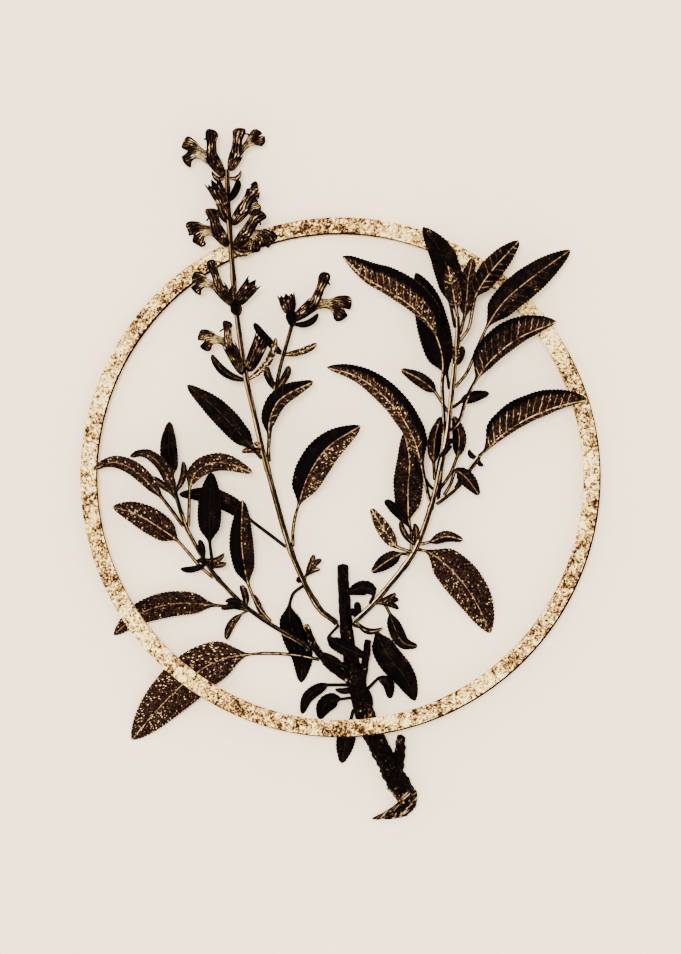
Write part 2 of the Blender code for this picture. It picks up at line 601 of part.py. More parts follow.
def hoop_slope():
    """Rise of the hoop's underside per unit along -Y, so that it clears the woody base."""
    outer = HOOP_DIAMETER / 2
    inner = outer - HOOP_WIDTH
    route = wood_route()
    table = route.length_table()
    tops = [0.0]
    for length, place in table:
        point = route.at(place) - HOOP_CENTRE
        reach = wood_radius(place)
        if inner - reach < point.xy.length < outer + reach:
            tops.append((point.z + reach + CLEARANCE) / (outer - point.y))
    return max(tops)


def build_hoop():
    outer = HOOP_DIAMETER / 2
    inner = outer - HOOP_WIDTH
    profile = ((outer, 0.0), (outer, HOOP_THICKNESS), (inner, HOOP_THICKNESS), (inner, 0.0))
    mesh = bpy.data.meshes.new("hoop")
    shape = bmesh.new()
    rows = []
    for n in range(HOOP_SEGMENTS):
        angle = 2 * math.pi * (n + 0.5) / HOOP_SEGMENTS
        spot = Vector((math.cos(angle), math.sin(angle), 0))
        rows.append([shape.verts.new((spot * r + Vector((0, 0, z))) * MM) for r, z in profile])
    for row, after in zip(rows, rows[1:] + rows[:1]):
        for i in range(len(profile)):
            j = (i + 1) % len(profile)
            shape.faces.new((row[i], after[i], after[j], row[j]))
    bmesh.ops.recalc_face_normals(shape, faces=shape.faces)
    shape.to_mesh(mesh)
    shape.free()
    mesh.shade_smooth()
    mesh.set_sharp_from_angle(angle=math.radians(HOOP_SHARP))
    mesh.materials.append(material("gold_leaf", GOLD))
    hoop = bpy.data.objects.new("hoop", mesh)
    bpy.context.scene.collection.objects.link(hoop)
    lean = math.atan(hoop_slope())
    edge = outer * math.cos(math.pi / HOOP_SEGMENTS)
    hoop.rotation_euler.x = -lean
    hoop.location = (HOOP_CENTRE + Vector((0, edge - edge * math.cos(lean), edge * math.sin(lean)))) * MM
    return hoop


def main():
    for old in list(bpy.data.objects):
        bpy.data.objects.remove(old)
    pieces = [build_hoop(), build_wood()]
    pieces += [build_stem(name) for name in STEMS]
    pieces += [build_leaf(name) for name in LEAVES]
    pieces += [build_flower(name) for name in FLOWERS]
    for piece in pieces:
        piece.location += ORIGIN_SHIFT * MM


main()
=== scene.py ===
"""The looks of a flowering sage branch threaded through a gilded hoop, seen from straight above.

Each piece takes its place and shape from the CAD solid that it stands for: the rings of a
lofted solid give the route and the sections of its leaf, stem or flower. Lengths are in mm.
"""

import json
import math
from collections import namedtuple

import bmesh
import bpy
import numpy as np
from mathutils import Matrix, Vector, noise


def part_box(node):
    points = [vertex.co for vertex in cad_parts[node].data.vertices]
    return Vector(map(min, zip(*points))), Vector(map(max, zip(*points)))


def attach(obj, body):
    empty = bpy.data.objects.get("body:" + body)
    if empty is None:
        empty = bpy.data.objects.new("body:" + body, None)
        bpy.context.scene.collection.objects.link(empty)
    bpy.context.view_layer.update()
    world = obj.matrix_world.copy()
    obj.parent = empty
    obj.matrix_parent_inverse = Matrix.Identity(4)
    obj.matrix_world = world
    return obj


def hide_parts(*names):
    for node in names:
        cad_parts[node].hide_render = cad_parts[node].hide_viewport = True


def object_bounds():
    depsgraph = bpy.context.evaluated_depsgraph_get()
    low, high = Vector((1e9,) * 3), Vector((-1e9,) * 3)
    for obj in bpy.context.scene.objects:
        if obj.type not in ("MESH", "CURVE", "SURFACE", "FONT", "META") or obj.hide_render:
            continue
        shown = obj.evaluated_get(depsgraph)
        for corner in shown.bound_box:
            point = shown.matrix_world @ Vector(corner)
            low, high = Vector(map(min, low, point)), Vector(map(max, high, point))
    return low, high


MM = 0.001
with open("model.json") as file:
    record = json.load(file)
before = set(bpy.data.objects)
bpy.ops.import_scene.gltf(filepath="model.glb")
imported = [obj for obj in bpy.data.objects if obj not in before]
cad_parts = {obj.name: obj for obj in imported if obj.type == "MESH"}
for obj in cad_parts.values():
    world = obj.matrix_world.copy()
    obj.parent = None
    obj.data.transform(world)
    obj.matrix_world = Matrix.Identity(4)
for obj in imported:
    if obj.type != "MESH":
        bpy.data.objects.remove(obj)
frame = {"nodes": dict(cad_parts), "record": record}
NODES = frame["nodes"]
SLOT = {part["node"]: part["material_slot"] for part in frame["record"]["subparts"]}
first_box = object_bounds()

# ---------------- shapes read from the CAD


def welded(name):
    """A CAD solid as a bmesh in mm, with the corners that its faces share joined."""
    shape = bmesh.new()
    shape.from_mesh(NODES[name].data)
    bmesh.ops.remove_doubles(shape, verts=shape.verts, dist=2e-6)
    bmesh.ops.scale(shape, vec=Vector((1, 1, 1)) / MM, verts=shape.verts)
    shape.verts.ensure_lookup_table()
    return shape


def layers_from(vertex):
    """Rings of vertices at each number of edges from one vertex."""
    seen = {vertex}
    rows = [[vertex]]
    while rows[-1]:
        ahead = {edge.other_vert(v) for v in rows[-1] for edge in v.link_edges} - seen
        seen |= ahead
        rows.append(sorted(ahead, key=lambda v: v.index))
    return rows[:-1]


def around(ring):
    """A ring's points in order round it."""
    left = set(ring)
    order = [ring[0]]
    left.remove(ring[0])
    while left:
        touching = [e.other_vert(order[-1]) for e in order[-1].link_edges]
        ahead = [v for v in touching if v in left]
        if not ahead:
            break
        order.append(ahead[0])
        left.remove(ahead[0])
    return [v.co.copy() for v in order]


def girth(ring):
    """The mean distance of a ring's vertices from their middle."""
    middle = sum((v.co for v in ring), Vector()) / len(ring)
    return sum((v.co - middle).length for v in ring) / len(ring)


def unevenness(vertex):
    """0 for a point at the end of a loft, from which every row is a ring with as many vertices."""
    sizes = [len(row) for row in layers_from(vertex)[1:-1]]
    return max(sizes) - min(sizes)


def rings_of(name):
    """A lofted solid's rings in order, from its thinner end, and the points at its two ends."""
    shape = welded(name)
    one_end, other_end = sorted(shape.verts, key=unevenness)[:2]
    rows = layers_from(one_end)
    back = layers_from(other_end)
    if girth(back[1]) + girth(back[2]) < girth(rows[1]) + girth(rows[2]):
        rows = back
    rings = [around(row) for row in rows[1:-1]]
    ends = rows[0][0].co.copy(), rows[-1][0].co.copy()
    shape.free()
    return rings, ends


def through(points, places):
    """Points on smooth lines through rows of points, at places that count rows from 0."""
    rows = np.array(points, float)
    last = len(rows) - 1
    low = np.clip(np.floor(places).astype(int), 0, last - 1)
    t = (np.array(places) - low)[:, None]
    before = rows[np.maximum(low - 1, 0)]
    start = rows[low]
    end = rows[low + 1]
    after = rows[np.minimum(low + 2, last)]
    rise_in = (end - before) / 2
    rise_out = (after - start) / 2
    return (start * (1 + 2 * t) * (1 - t) ** 2 + rise_in * t * (1 - t) ** 2
            + end * t * t * (3 - 2 * t) + rise_out * t * t * (t - 1))


def even_places(rows, step):
    """Places along rows of points, at even steps of length."""
    spans = np.linalg.norm(np.diff(np.array(rows, float), axis=0), axis=1)
    lengths = np.concatenate(([0.0], np.cumsum(spans)))
    count = max(4, int(lengths[-1] / step))
    wanted = np.linspace(0, lengths[-1], count + 1)
    return np.interp(wanted, lengths, np.arange(len(rows))), wanted


def unit(vectors):
    """Vectors of length 1 along the last axis."""
    return vectors / np.maximum(np.linalg.norm(vectors, axis=-1, keepdims=True), 1e-9)


# ---------------- meshes


def grid(name, points, uv, look=None, place=None, closed=False, turn=0.0):
    """A mesh over rows of points in mm, with the two coordinates of its UV in mm and two sets of
    four shares for each point, look and place, that its material reads. closed joins each row's
    last point to its first, where the UV has gone up by turn."""
    rows, columns = points.shape[:2]
    uv = np.stack([np.broadcast_to(part, (rows, columns)) for part in uv], axis=-1)
    index = np.arange(rows * columns).reshape(rows, columns)
    if closed:
        index = np.concatenate((index, index[:, :1]), axis=1)
        uv = np.concatenate((uv, uv[:, :1] + np.array([turn, 0.0])), axis=1)

    def corners(values):
        return np.stack((values[:-1, :-1], values[:-1, 1:], values[1:, 1:], values[1:, :-1]), axis=2)

    mesh = bpy.data.meshes.new(name)
    mesh.from_pydata((points.reshape(-1, 3) * MM).tolist(), [], corners(index).reshape(-1, 4).tolist())
    layer = mesh.uv_layers.new(name="UVMap")
    layer.data.foreach_set("uv", corners(uv).ravel().astype(np.float32))
    for title, values in (("look", look), ("place", place)):
        if values is not None:
            layer = mesh.color_attributes.new(title, "FLOAT_COLOR", "POINT")
            layer.data.foreach_set("color", values.reshape(-1, 4).ravel().astype(np.float32))
    shape = bmesh.new()
    shape.from_mesh(mesh)
    bmesh.ops.remove_doubles(shape, verts=shape.verts, dist=2e-6)
    bmesh.ops.recalc_face_normals(shape, faces=shape.faces)
    shape.to_mesh(mesh)
    shape.free()
    mesh.shade_smooth()
    made = bpy.data.objects.new(name, mesh)
    bpy.context.scene.collection.objects.link(made)
    return made


def shares(points, *values):
    """Up to four shares for each point of a grid, as its material reads them."""
    found = np.zeros(points.shape[:2] + (4,))
    for channel, value in enumerate(values):
        found[..., channel] = value
    return found


def hold(piece, slot, node=None):
    """The piece rides with the object, takes a finish and stands for a CAD node."""
    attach(piece, "root")
    piece.data.materials.append(MATERIALS[slot])
    if node:
        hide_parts(node)
    return piece


def thicken(piece, thickness):
    """The piece with a thickness in mm under its surface."""
    skin = piece.modifiers.new("thickness", "SOLIDIFY")
    skin.thickness = thickness * MM
    skin.offset = -1
    return piece


def wobble(points, size, seed):
    """Smooth noise in -1..1 at each of an array of points, with features of that size."""
    flat = points.reshape(-1, 3)
    found = [noise.noise(Vector(p) / size + Vector((seed * 7.3, seed * 3.1, 0))) for p in flat]
    return np.array(found).reshape(points.shape[:-1])


# ---------------- materials

INK = (0.0005, 0.0002, 0.0001, 1)
UMBER = (0.014, 0.006, 0.003, 1)
MOTTLE = (0.034, 0.013, 0.007, 1)
RUSSET = (0.026, 0.010, 0.005, 1)
OLD_GOLD = (0.26, 0.140, 0.050, 1)
PALE_GOLD = (0.82, 0.60, 0.26, 1)
PAPER_LOW = (0.945, 0.755, 0.510, 1)
PAPER_HIGH = (0.975, 0.790, 0.545, 1)
GILT_PIT = (0.010, 0.004, 0.002, 1)
GILT_STEPS = (  # the hoop's tones from its pits up: where each starts, where it is full, its colour
    (-0.60, -0.34, (0.075, 0.028, 0.008, 1)),
    (-0.38, -0.13, (0.300, 0.145, 0.038, 1)),
    (-0.17, 0.13, (0.660, 0.405, 0.112, 1)),
    (0.12, 0.44, (1.000, 0.805, 0.335, 1)),
)
SATIN = 0.015  # specular level of every surface, so that dark ones stay black in a bright room
GOLD_METAL = 0.3  # how metallic fully gilded plant parts are
VEIN_PITCH = 4.3
VEIN_RAKE = 0.75  # how far a side vein runs towards the tip for each mm that it runs outwards
STEM_LINES_RUN = 2 * math.pi / 1.5  # a gilded line each 1.5 mm round a stem
PETAL_STRIPES_RUN = 5.4  # radians a mm: a gilded stripe each 1.16 mm across a petal
ARM_FROM = -4.0  # the arm and the stub on this side of X have more gilding
TORN_FROM = -179.0  # the branch's heel is torn below this Y
PAINTED_SHADOW_SHIFT = 0.85  # how far the hoop's gold is shifted towards the upper left, leaving a strip of painted shadow along the lower right of its face


class Value:
    """A number that a node gives, which a material can add, multiply and so on."""

    def __init__(self, shader, socket):
        self.shader = shader
        self.socket = socket

    def __add__(self, other):
        return self.shader.math("ADD", self, other)

    def __sub__(self, other):
        return self.shader.math("SUBTRACT", self, other)

    def __rsub__(self, other):
        return self.shader.math("SUBTRACT", other, self)

    def __mul__(self, other):
        return self.shader.math("MULTIPLY", self, other)

    def __truediv__(self, other):
        return self.shader.math("DIVIDE", self, other)

    def __abs__(self):
        return self.shader.math("ABSOLUTE", self)


class Shader:
    """Builds one material, a call for each node."""

    def __init__(self, name):
        self.material = bpy.data.materials.new(name)
        self.material.use_nodes = True
        self.tree = self.material.node_tree
        self.surface = self.tree.nodes["Principled BSDF"]

    def put(self, socket, value):
        value = getattr(value, "socket", value)
        if isinstance(value, bpy.types.NodeSocket):
            self.tree.links.new(value, socket)
        else:
            socket.default_value = value

    def add(self, kind, values=None, **settings):
        node = self.tree.nodes.new(kind)
        for key, value in settings.items():
            setattr(node, key, value)
        for key, value in (values or {}).items():
            self.put(node.inputs[key], value)
        return node

    def math(self, operation, *values, clamp=False):
        node = self.add("ShaderNodeMath", dict(enumerate(values)), operation=operation, use_clamp=clamp)
        return Value(self, node.outputs[0])

    def most(self, first, second, clamp=False):
        return self.math("MAXIMUM", first, second, clamp=clamp)

    def ramp(self, value, low, high, out_low=0.0, out_high=1.0, kind="SMOOTHSTEP"):
        node = self.add("ShaderNodeMapRange", {
            "Value": value, "From Min": low, "From Max": high, "To Min": out_low, "To Max": out_high},
            interpolation_type=kind)
        return Value(self, node.outputs["Result"])

    def mix(self, share, first, second):
        """A colour between two. The node's sockets for colours are its inputs 6 and 7."""
        return self.add("ShaderNodeMix", {0: share, 6: first, 7: second}, data_type="RGBA").outputs[2]

    def gold_over(self, ground, gilt, old_full, pale_from, pale_full):
        """A ground that turns old gold, then pale gold, as the share of gilt grows."""
        tint = self.mix(self.ramp(gilt, 0.0, old_full), ground, OLD_GOLD)
        return self.mix(self.ramp(gilt, pale_from, pale_full), tint, PALE_GOLD)

    def noise(self, vector, scale, detail=3.0, roughness=0.55, distortion=0.0):
        node = self.add("ShaderNodeTexNoise", {
            "Vector": vector, "Scale": scale, "Detail": detail, "Roughness": roughness,
            "Distortion": distortion})
        return Value(self, node.outputs["Fac"])

    def cells(self, vector, scale, randomness=1.0):
        """The distance to the middle of the nearest cell, and random shares that the cell has."""
        node = self.add("ShaderNodeTexVoronoi", {
            "Vector": vector, "Scale": scale, "Randomness": randomness})
        return Value(self, node.outputs["Distance"]), self.parts("Color", node.outputs["Color"])

    def parts(self, kind, value):
        """A colour's three channels, or a vector's three coordinates, whose kind is XYZ."""
        node = self.add("ShaderNodeSeparate" + kind, {0: value})
        return [Value(self, socket) for socket in node.outputs]

    def stretched(self, vector, scale):
        return self.add("ShaderNodeVectorMath", {0: vector, 1: scale}, operation="MULTIPLY").outputs[0]

    def join(self, x, y, z=0.0):
        return self.add("ShaderNodeCombineXYZ", {"X": x, "Y": y, "Z": z}).outputs[0]

    def uv(self):
        """The two coordinates of the UV, in mm."""
        return self.parts("XYZ", self.add("ShaderNodeUVMap", uv_map="UVMap").outputs["UV"])[:2]

    def position(self):
        """Object position in mm."""
        place = self.add("ShaderNodeTexCoord").outputs["Object"]
        return self.stretched(place, (1 / MM, 1 / MM, 1 / MM))

    def attribute(self, name):
        """The four shares that a mesh holds under a name."""
        node = self.add("ShaderNodeAttribute", attribute_name=name)
        return (*self.parts("Color", node.outputs["Color"]), Value(self, node.outputs["Alpha"]))

    def bump(self, height, strength, distance_mm):
        return self.add("ShaderNodeBump", {
            "Height": height, "Strength": strength, "Distance": distance_mm * MM}).outputs[0]

    def finish(self, colour, roughness, metallic, normal):
        values = {"Base Color": colour, "Roughness": roughness, "Metallic": metallic, "Normal": normal,
                  "Specular IOR Level": SATIN}
        for name, value in values.items():
            self.put(self.surface.inputs[name], value)
        return self.material


def leaf_material():
    """Black-brown blade with gilded specks between its veins, gilded veins and a gilded edge.
    look holds the strength of specks, side veins, edge and midrib. place holds the place across
    the blade from -1 to 1, and where the dark band along the margin starts."""
    s = Shader("gilded_leaf")
    specks, veins, edge, midrib = s.attribute("look")
    across, dark_band = s.attribute("place")[:2]
    x, y = s.uv()
    reach = abs(x)
    out = abs(across)
    place = s.position()
    grain = s.noise(place, 2.2, 4.0, 0.6)
    patch = s.noise(place, 0.13, 2.0)
    along = y - reach * VEIN_RAKE + s.noise(place, 0.30, 2.0) * 1.8
    open_part = s.ramp(out + grain * 0.25, dark_band, dark_band - 0.25)
    room = specks - 0.95 + patch * 1.25 - (1.0 - open_part) * 0.8

    distance, chances = s.cells(s.join(x, along), 0.88, 0.65)
    bright = s.ramp(room + chances[0] * 0.75, 0.48, 1.35)
    dot = s.ramp(distance - s.ramp(bright, 0.0, 1.0, 0.14, 0.32, "LINEAR"), 0.11, -0.11)
    speck = dot * s.ramp(grain, 0.32, 0.50) * bright

    off = abs(s.math("FRACT", along / VEIN_PITCH) - 0.5)
    vein = s.ramp(off, 0.085, 0.01) * s.ramp(s.noise(place, 0.55, 4.0, 0.7), 0.38, 0.56)
    vein = vein * veins * s.ramp(patch, 0.35, 0.60, 0.15, 0.70) * open_part
    broken = s.ramp(s.noise(place, 0.4, 4.0, 0.7), 0.40, 0.58, 0.10, 1.0)
    middle = s.ramp(reach, 0.36, 0.10) * broken * midrib * 0.72
    rim = s.ramp(out + grain * 0.12, 0.99, 1.05) * edge * s.ramp(grain, 0.42, 0.60, 0.0, 0.38)
    gilt = s.most(s.most(speck, vein), s.most(middle, rim), clamp=True)

    mottle = s.ramp(s.noise(place, 1.0, 4.0, 0.72), 0.47, 0.62) * s.ramp(room, -0.15, 0.55)
    colour = s.gold_over(s.mix(mottle, INK, MOTTLE), gilt, 0.45, 0.35, 0.95)
    normal = s.bump(grain * 0.3 - distance * 0.8 + gilt * 0.3, 0.6, 0.4)
    return s.finish(colour, s.ramp(gilt, 0.0, 1.0, 0.62, 0.42), gilt * GOLD_METAL, normal)


def stem_material():
    """Dark square stem with broken gilded lines along it, with more gilding, a painted highlight, on
    the side that faces the painted light.
    look holds the strength of the gilding and how far the surface faces the painted light's direction."""
    s = Shader("gilded_stem")
    x, y = s.uv()
    strength, painted_light = s.attribute("look")[:2]
    line = s.noise(s.join(x * 1.5, y * 0.045), 1.0, 3.0, 0.6)
    fleck = s.noise(s.position(), 0.9, 5.0, 0.7)
    # painted highlight: the gilding rises where the surface faces the painted light
    level = s.ramp(painted_light, 0.50, 0.95, 0.0, 0.62) + (line - 0.5) * 2.6 + (fleck - 0.5)
    level = level + s.math("SINE", x * STEM_LINES_RUN) * 0.38
    gilt = s.math("MULTIPLY", s.ramp(level, 0.22, 1.05), strength, clamp=True)
    ground = s.mix(s.ramp(fleck, 0.45, 0.75), INK, UMBER)
    colour = s.gold_over(ground, gilt, 0.5, 0.45, 1.0)
    normal = s.bump(line + fleck * 0.4, 0.6, 0.3)
    return s.finish(colour, s.ramp(gilt, 0.0, 1.0, 0.6, 0.42), gilt * GOLD_METAL, normal)


def petal_material():
    """Dark umber petals and calyces with gilded stripes along them and black rims.
    look holds the strength of the gilding and how near the surface is to a rim. On buds and styles the
    second share is how far the surface faces the painted light, so they are painted darker on that
    side."""
    s = Shader("gilded_petal")
    x, y = s.uv()
    place = s.position()
    strength, rim = s.attribute("look")[:2]
    stripe = s.math("SINE", x * PETAL_STRIPES_RUN + s.noise(place, 0.35, 2.0) * 9.0)
    broken = s.noise(s.join(x * 1.6, y * 0.30), 1.0, 4.0, 0.65)
    broad = s.noise(place, 0.20, 2.0)
    fleck = s.noise(place, 1.2, 4.0, 0.65)
    level = stripe * 0.20 + (broken - 0.5) * 1.3 + (broad - 0.5) * 1.1 + (fleck - 0.5) * 0.6
    level = level + (strength - rim * 0.75)
    gilt = s.ramp(level, 0.42, 0.80)
    ground = s.mix(s.ramp(level, 0.15, 0.50), INK, RUSSET)
    colour = s.gold_over(ground, gilt, 0.5, 0.4, 0.95)
    normal = s.bump(stripe * 0.5 + broken, 0.7, 0.45)
    return s.finish(colour, s.ramp(gilt, 0.0, 1.0, 0.58, 0.42), gilt * GOLD_METAL, normal)


def bark_material():
    """Black bark with cracks along it and scattered gilded flecks, and a paler torn heel."""
    s = Shader("black_bark")
    place = s.position()
    x, y, z = s.parts("XYZ", place)
    cracks = s.noise(s.stretched(place, (1.0, 0.22, 1.0)), 1.1, 5.0, 0.65, 0.4)
    fleck = s.noise(s.stretched(place, (1.0, 0.5, 1.0)), 0.9, 5.0, 0.7, 0.6)
    patch = s.noise(place, 0.10, 2.0)
    level = fleck + (patch - 0.5) * 0.6 + s.ramp(x, ARM_FROM, ARM_FROM - 5.0, 0.0, 0.12)
    sweep = y * 0.76 + x * -0.65
    fibre = s.noise(s.join(sweep * 1.2, x * 0.10, z * 0.5), 1.0, 2.0, 0.5, 0.4)
    torn = s.ramp(y, TORN_FROM, TORN_FROM - 5.0) * s.ramp(fibre, 0.58, 0.67, 0.0, 0.7)
    gilt = s.most(s.ramp(level, 0.64, 0.76) * 0.7, torn, clamp=True)
    ground = s.mix(s.ramp(cracks, 0.50, 0.80), INK, UMBER)
    colour = s.gold_over(ground, gilt, 0.5, 0.5, 1.0)
    return s.finish(colour, 0.62, gilt * GOLD_METAL, s.bump(cracks + fleck * 0.5, 0.8, 0.9))


def gold_leaf(s, place):
    """The brightness of gold leaf, around 0, and its relief: grain, worn patches, slanting
    strokes and pits."""
    x, y, _ = s.parts("XYZ", place)
    cloud = s.noise(place, 0.22, 4.0, 0.62, 0.5)
    grit = s.noise(place, 0.62, 3.0, 0.62, 0.5)
    fine = s.noise(place, 1.35, 3.0, 0.65)
    worn = cloud + (s.noise(place, 0.045, 3.0, 0.6) - 0.5) * 0.9
    rising = s.join(x + y, (x - y) * 0.15)
    falling = s.join(x - y * 0.5, (x + y) * 0.13)
    strokes = s.most(s.ramp(s.noise(rising, 0.95, 3.0, 0.6, 0.3), 0.58, 0.64),
                     s.ramp(s.noise(falling, 1.05, 3.0, 0.6, 0.3), 0.59, 0.65))
    distance, chances = s.cells(place, 0.62)
    pit = s.ramp(distance + fine * 0.3, 0.50, 0.36) * s.ramp(chances[1] + worn, 0.82, 0.98)
    dark = pit * 0.75 + strokes * s.ramp(worn, 0.46, 0.60) * 0.55
    tone = (grit - 0.5) * 3.4 + (fine - 0.5) * 1.8 - (worn - 0.5) * 2.0 - dark
    return tone, fine + grit - dark


def hoop_material(centre, inner, outer):
    """Gold leaf on the hoop's face and walls. On the face the gold is drawn slightly off the band,
    towards the upper left, so black shows along the lower right side of each stretch: a painted shadow."""
    s = Shader("gold_leaf_hoop")
    place = s.position()
    x, y, _ = s.parts("XYZ", place)
    # the gold ring's centre, shifted towards the upper left; the black that it leaves uncovered is
    # painted shadow
    dx = x - (centre[0] - PAINTED_SHADOW_SHIFT)
    dy = y - (centre[1] + PAINTED_SHADOW_SHIFT)
    radius = s.math("SQRT", dx * dx + dy * dy) + (s.noise(place, 0.7, 3.0) - 0.5) * 0.2
    clear_of_painted_shadow = s.ramp(radius, inner, inner + 0.12) * s.ramp(radius, outer, outer - 0.12)
    facing = s.parts("XYZ", s.add("ShaderNodeNewGeometry").outputs["Normal"])[2]
    on = s.most(clear_of_painted_shadow, s.ramp(abs(facing), 0.45, 0.25))
    tone, relief = gold_leaf(s, place)
    leaf = GILT_PIT
    for low, high, gilding in GILT_STEPS:
        leaf = s.mix(s.ramp(tone, low, high), leaf, gilding)
    normal = s.bump(relief, 0.6, 0.3)
    # INK where the face lies outside the shifted gold ring: painted shadow along the lower right
    return s.finish(s.mix(on, INK, leaf), s.ramp(on, 0.0, 1.0, 0.6, 0.45), on * 0.08, normal)


def paper_material():
    """Plain warm paper with a faint laid grain."""
    s = Shader("paper")
    place = s.position()
    laid = s.noise(s.stretched(place, (0.25, 1.0, 1.0)), 0.35, 4.0, 0.6)
    tooth = s.noise(place, 1.4, 4.0, 0.6)
    colour = s.mix(s.ramp(laid * 0.5 + tooth * 0.5, 0.35, 0.65), PAPER_LOW, PAPER_HIGH)
    return s.finish(colour, 0.9, 0.0, s.bump(tooth, 0.12, 0.15))


MATERIALS = {
    "leaf": leaf_material(),
    "stem": stem_material(),
    "petal": petal_material(),
    "bark": bark_material(),
}

# ---------------- where the stems run

STEM_NODES = ("flowering_stem", "flower_side_stem", "right_stem", "right_side_stem", "left_stem")


def stem_line(name):
    """A stem's centre line in mm and its radius at each ring, from its thicker end."""
    rings = rings_of(name)[0][::-1]
    centres = [sum(ring, Vector()) / len(ring) for ring in rings]
    radii = [sum((p - c).length for p in ring) / len(ring) for ring, c in zip(rings, centres)]
    return np.array(centres, float), np.array(radii)


STEM_LINES = {node: stem_line(node) for node in STEM_NODES}


def along_stem(node, share):
    """The point of a stem's centre line at a share of its length, in mm."""
    centres = STEM_LINES[node][0]
    return through(centres, np.array([share * (len(centres) - 1)]))[0]


def nearest_stem(point):
    """Distance from a point to the nearest centre line, with that stem and the share along it."""
    steps = np.linspace(0, 1, 400)
    found = []
    for node, (centres, _) in STEM_LINES.items():
        gaps = np.linalg.norm(through(centres, steps * (len(centres) - 1)) - point, axis=1)
        found.append((gaps.min(), node, steps[gaps.argmin()]))
    return min(found)


# ---------------- leaves

# Gilding of each leaf: specks on its left half and right half (seen from its stem), side veins
# left and right, edge and midrib, and where across each half a dark band starts along its
# margin, from 0 at the midrib. There is none from 1.5, past the edge.
Gilt = namedtuple("Gilt", "left right veins_left veins_right edge midrib dark_left dark_right",
                  defaults=(1.5, 1.5))
PLAIN = Gilt(0.5, 0.5, 0.2, 0.2, 0.25, 0.35)
DARK = Gilt(0.2, 0.2, 0.0, 0.0, 0.1, 0.08)
BRACT = Gilt(0.8, 0.8, 0.6, 0.6, 0.9, 0.8)

GILTS = {
    "left_leaf_top": (0.30, 0.40, 0, 0, 0.4, 0.08),
    "left_leaf_arched": (0.6, 0.6, 0.1, 0.1, 0.6, 0.3),
    "left_leaf_outer": (0.65, 0.65, 0.2, 0.1, 0.6, 0.4),
    "left_leaf_broad": (0.75, 0.8, 0.1, 0.1, 0.6, 0.7),
    "left_leaf_over": (0.85, 0.8, 0.1, 0.1, 0.5, 0.6),
    "left_leaf_inner": (0.18, 0.25, 0, 0, 0.3, 0.06),
    "left_leaf_tall": (0.12, 0.5, 0, 0.1, 0.7, 0.7),
    "left_leaf_low": (0.75, 0.6, 0.1, 0.1, 0.5, 0.4),
    "left_leaf_large": (0.85, 0.85, 0.15, 0.15, 0.4, 0.8),
    "stem_leaf_behind": (0.3, 0.4, 0, 0, 0.3, 0.1),
    "stem_leaf_left": (0.35, 0.35, 0, 0, 0.5, 0.12),
    "stem_leaf_right": (0.15, 0.65, 0.1, 0.8, 0.8, 0.8),
    "stem_leaf_broad": (0.12, 0.9, 0, 0.2, 0.4, 0.7),
    "stem_leaf_drooping": (0.2, 0.25, 0, 0, 0.3, 0.1),
    "right_leaf_long": (0.75, 0.75, 0.7, 0.6, 0.5, 0.9, 1.5, 0.80),
    "right_leaf_dark": (0.2, 0.2, 0, 0, 0.2, 0.06),
    "right_leaf_top": (0.3, 0.35, 0, 0, 0.4, 0.1),
    "right_leaf_centre": (0.7, 0.8, 0.7, 0.7, 0.7, 0.8),
    "right_leaf_behind": (0.5, 0.6, 0.2, 0.2, 0.4, 0.5),
    "right_leaf_veined": (0.35, 0.4, 0.3, 0.7, 0.5, 0.8),
    "right_leaf_far": (0.30, 0.4, 0.05, 0.2, 0.5, 0.6),
    "right_leaf_folded": (0.60, 0.4, 0.8, 0.3, 0.3, 0.9, 0.98, 1.5),
    "right_leaf_reaching": (0.65, 0.6, 1.0, 0.6, 0.4, 1.0, 0.92, 1.5),
    "right_leaf_great": (0.8, 0.7, 0.8, 0.6, 0.5, 0.9, 1.5, 0.75),
    "right_leaf_small_left": (0.5, 0.3, 0.3, 0.1, 0.6, 0.6),
    "right_leaf_oval_left": (0.55, 0.3, 0, 0, 0.5, 0.4),
    "right_leaf_oval_right": (0.15, 0.6, 0, 0.1, 0.6, 0.4),
    "right_leaf_upright": (0.5, 0.65, 0, 0, 0.35, 0.8),
    "right_leaf_side": (0.4, 0.3, 0.2, 0.1, 0.5, 0.4),
    "right_leaf_drooping": (0.8, 0.8, 0.1, 0.1, 0.4, 0.6),
    "right_leaf_narrow": (0.5, 0.25, 0.2, 0, 0.5, 0.8),
    "right_leaf_lower": (0.35, 0.5, 0.1, 0.2, 0.5, 0.5),
    "right_leaf_gilt": (0.95, 0.9, 0.8, 0.8, 0.9, 0.8),
    "base_leaf_twisted": (0.25, 0.4, 0.1, 0.1, 0.6, 0.25),
    "base_leaf_long": (0.30, 0.20, 0, 0, 0.3, 0.1),
}

LEAF_STEP = 0.42  # between a leaf's rows of vertices
TOP_COLUMNS = 22
UNDER_COLUMNS = 10
TOOTH_PITCH = 2.0
TOOTH_DEPTH = 0.62
PUFF = 0.55  # how far a wide blade puffs up between its side veins
FURROW = 0.35  # how deep it dips along its midrib
CURL = 0.55  # how far its margins wave up and down
WIDE_HALF = 7.0  # half of a blade that is this wide has its relief in full
PETIOLE_SPREAD = (1.0, 4.5)  # between these widths of ring a petiole turns into a blade
PETIOLE_STOUT = 1.55  # how much stouter the petioles look than the CAD's
STEM_REACH = 5.0  # a petiole that starts within this of a stem's middle grows out of it
WOOD_REACH = 2.5  # any other goes on this far into the wood


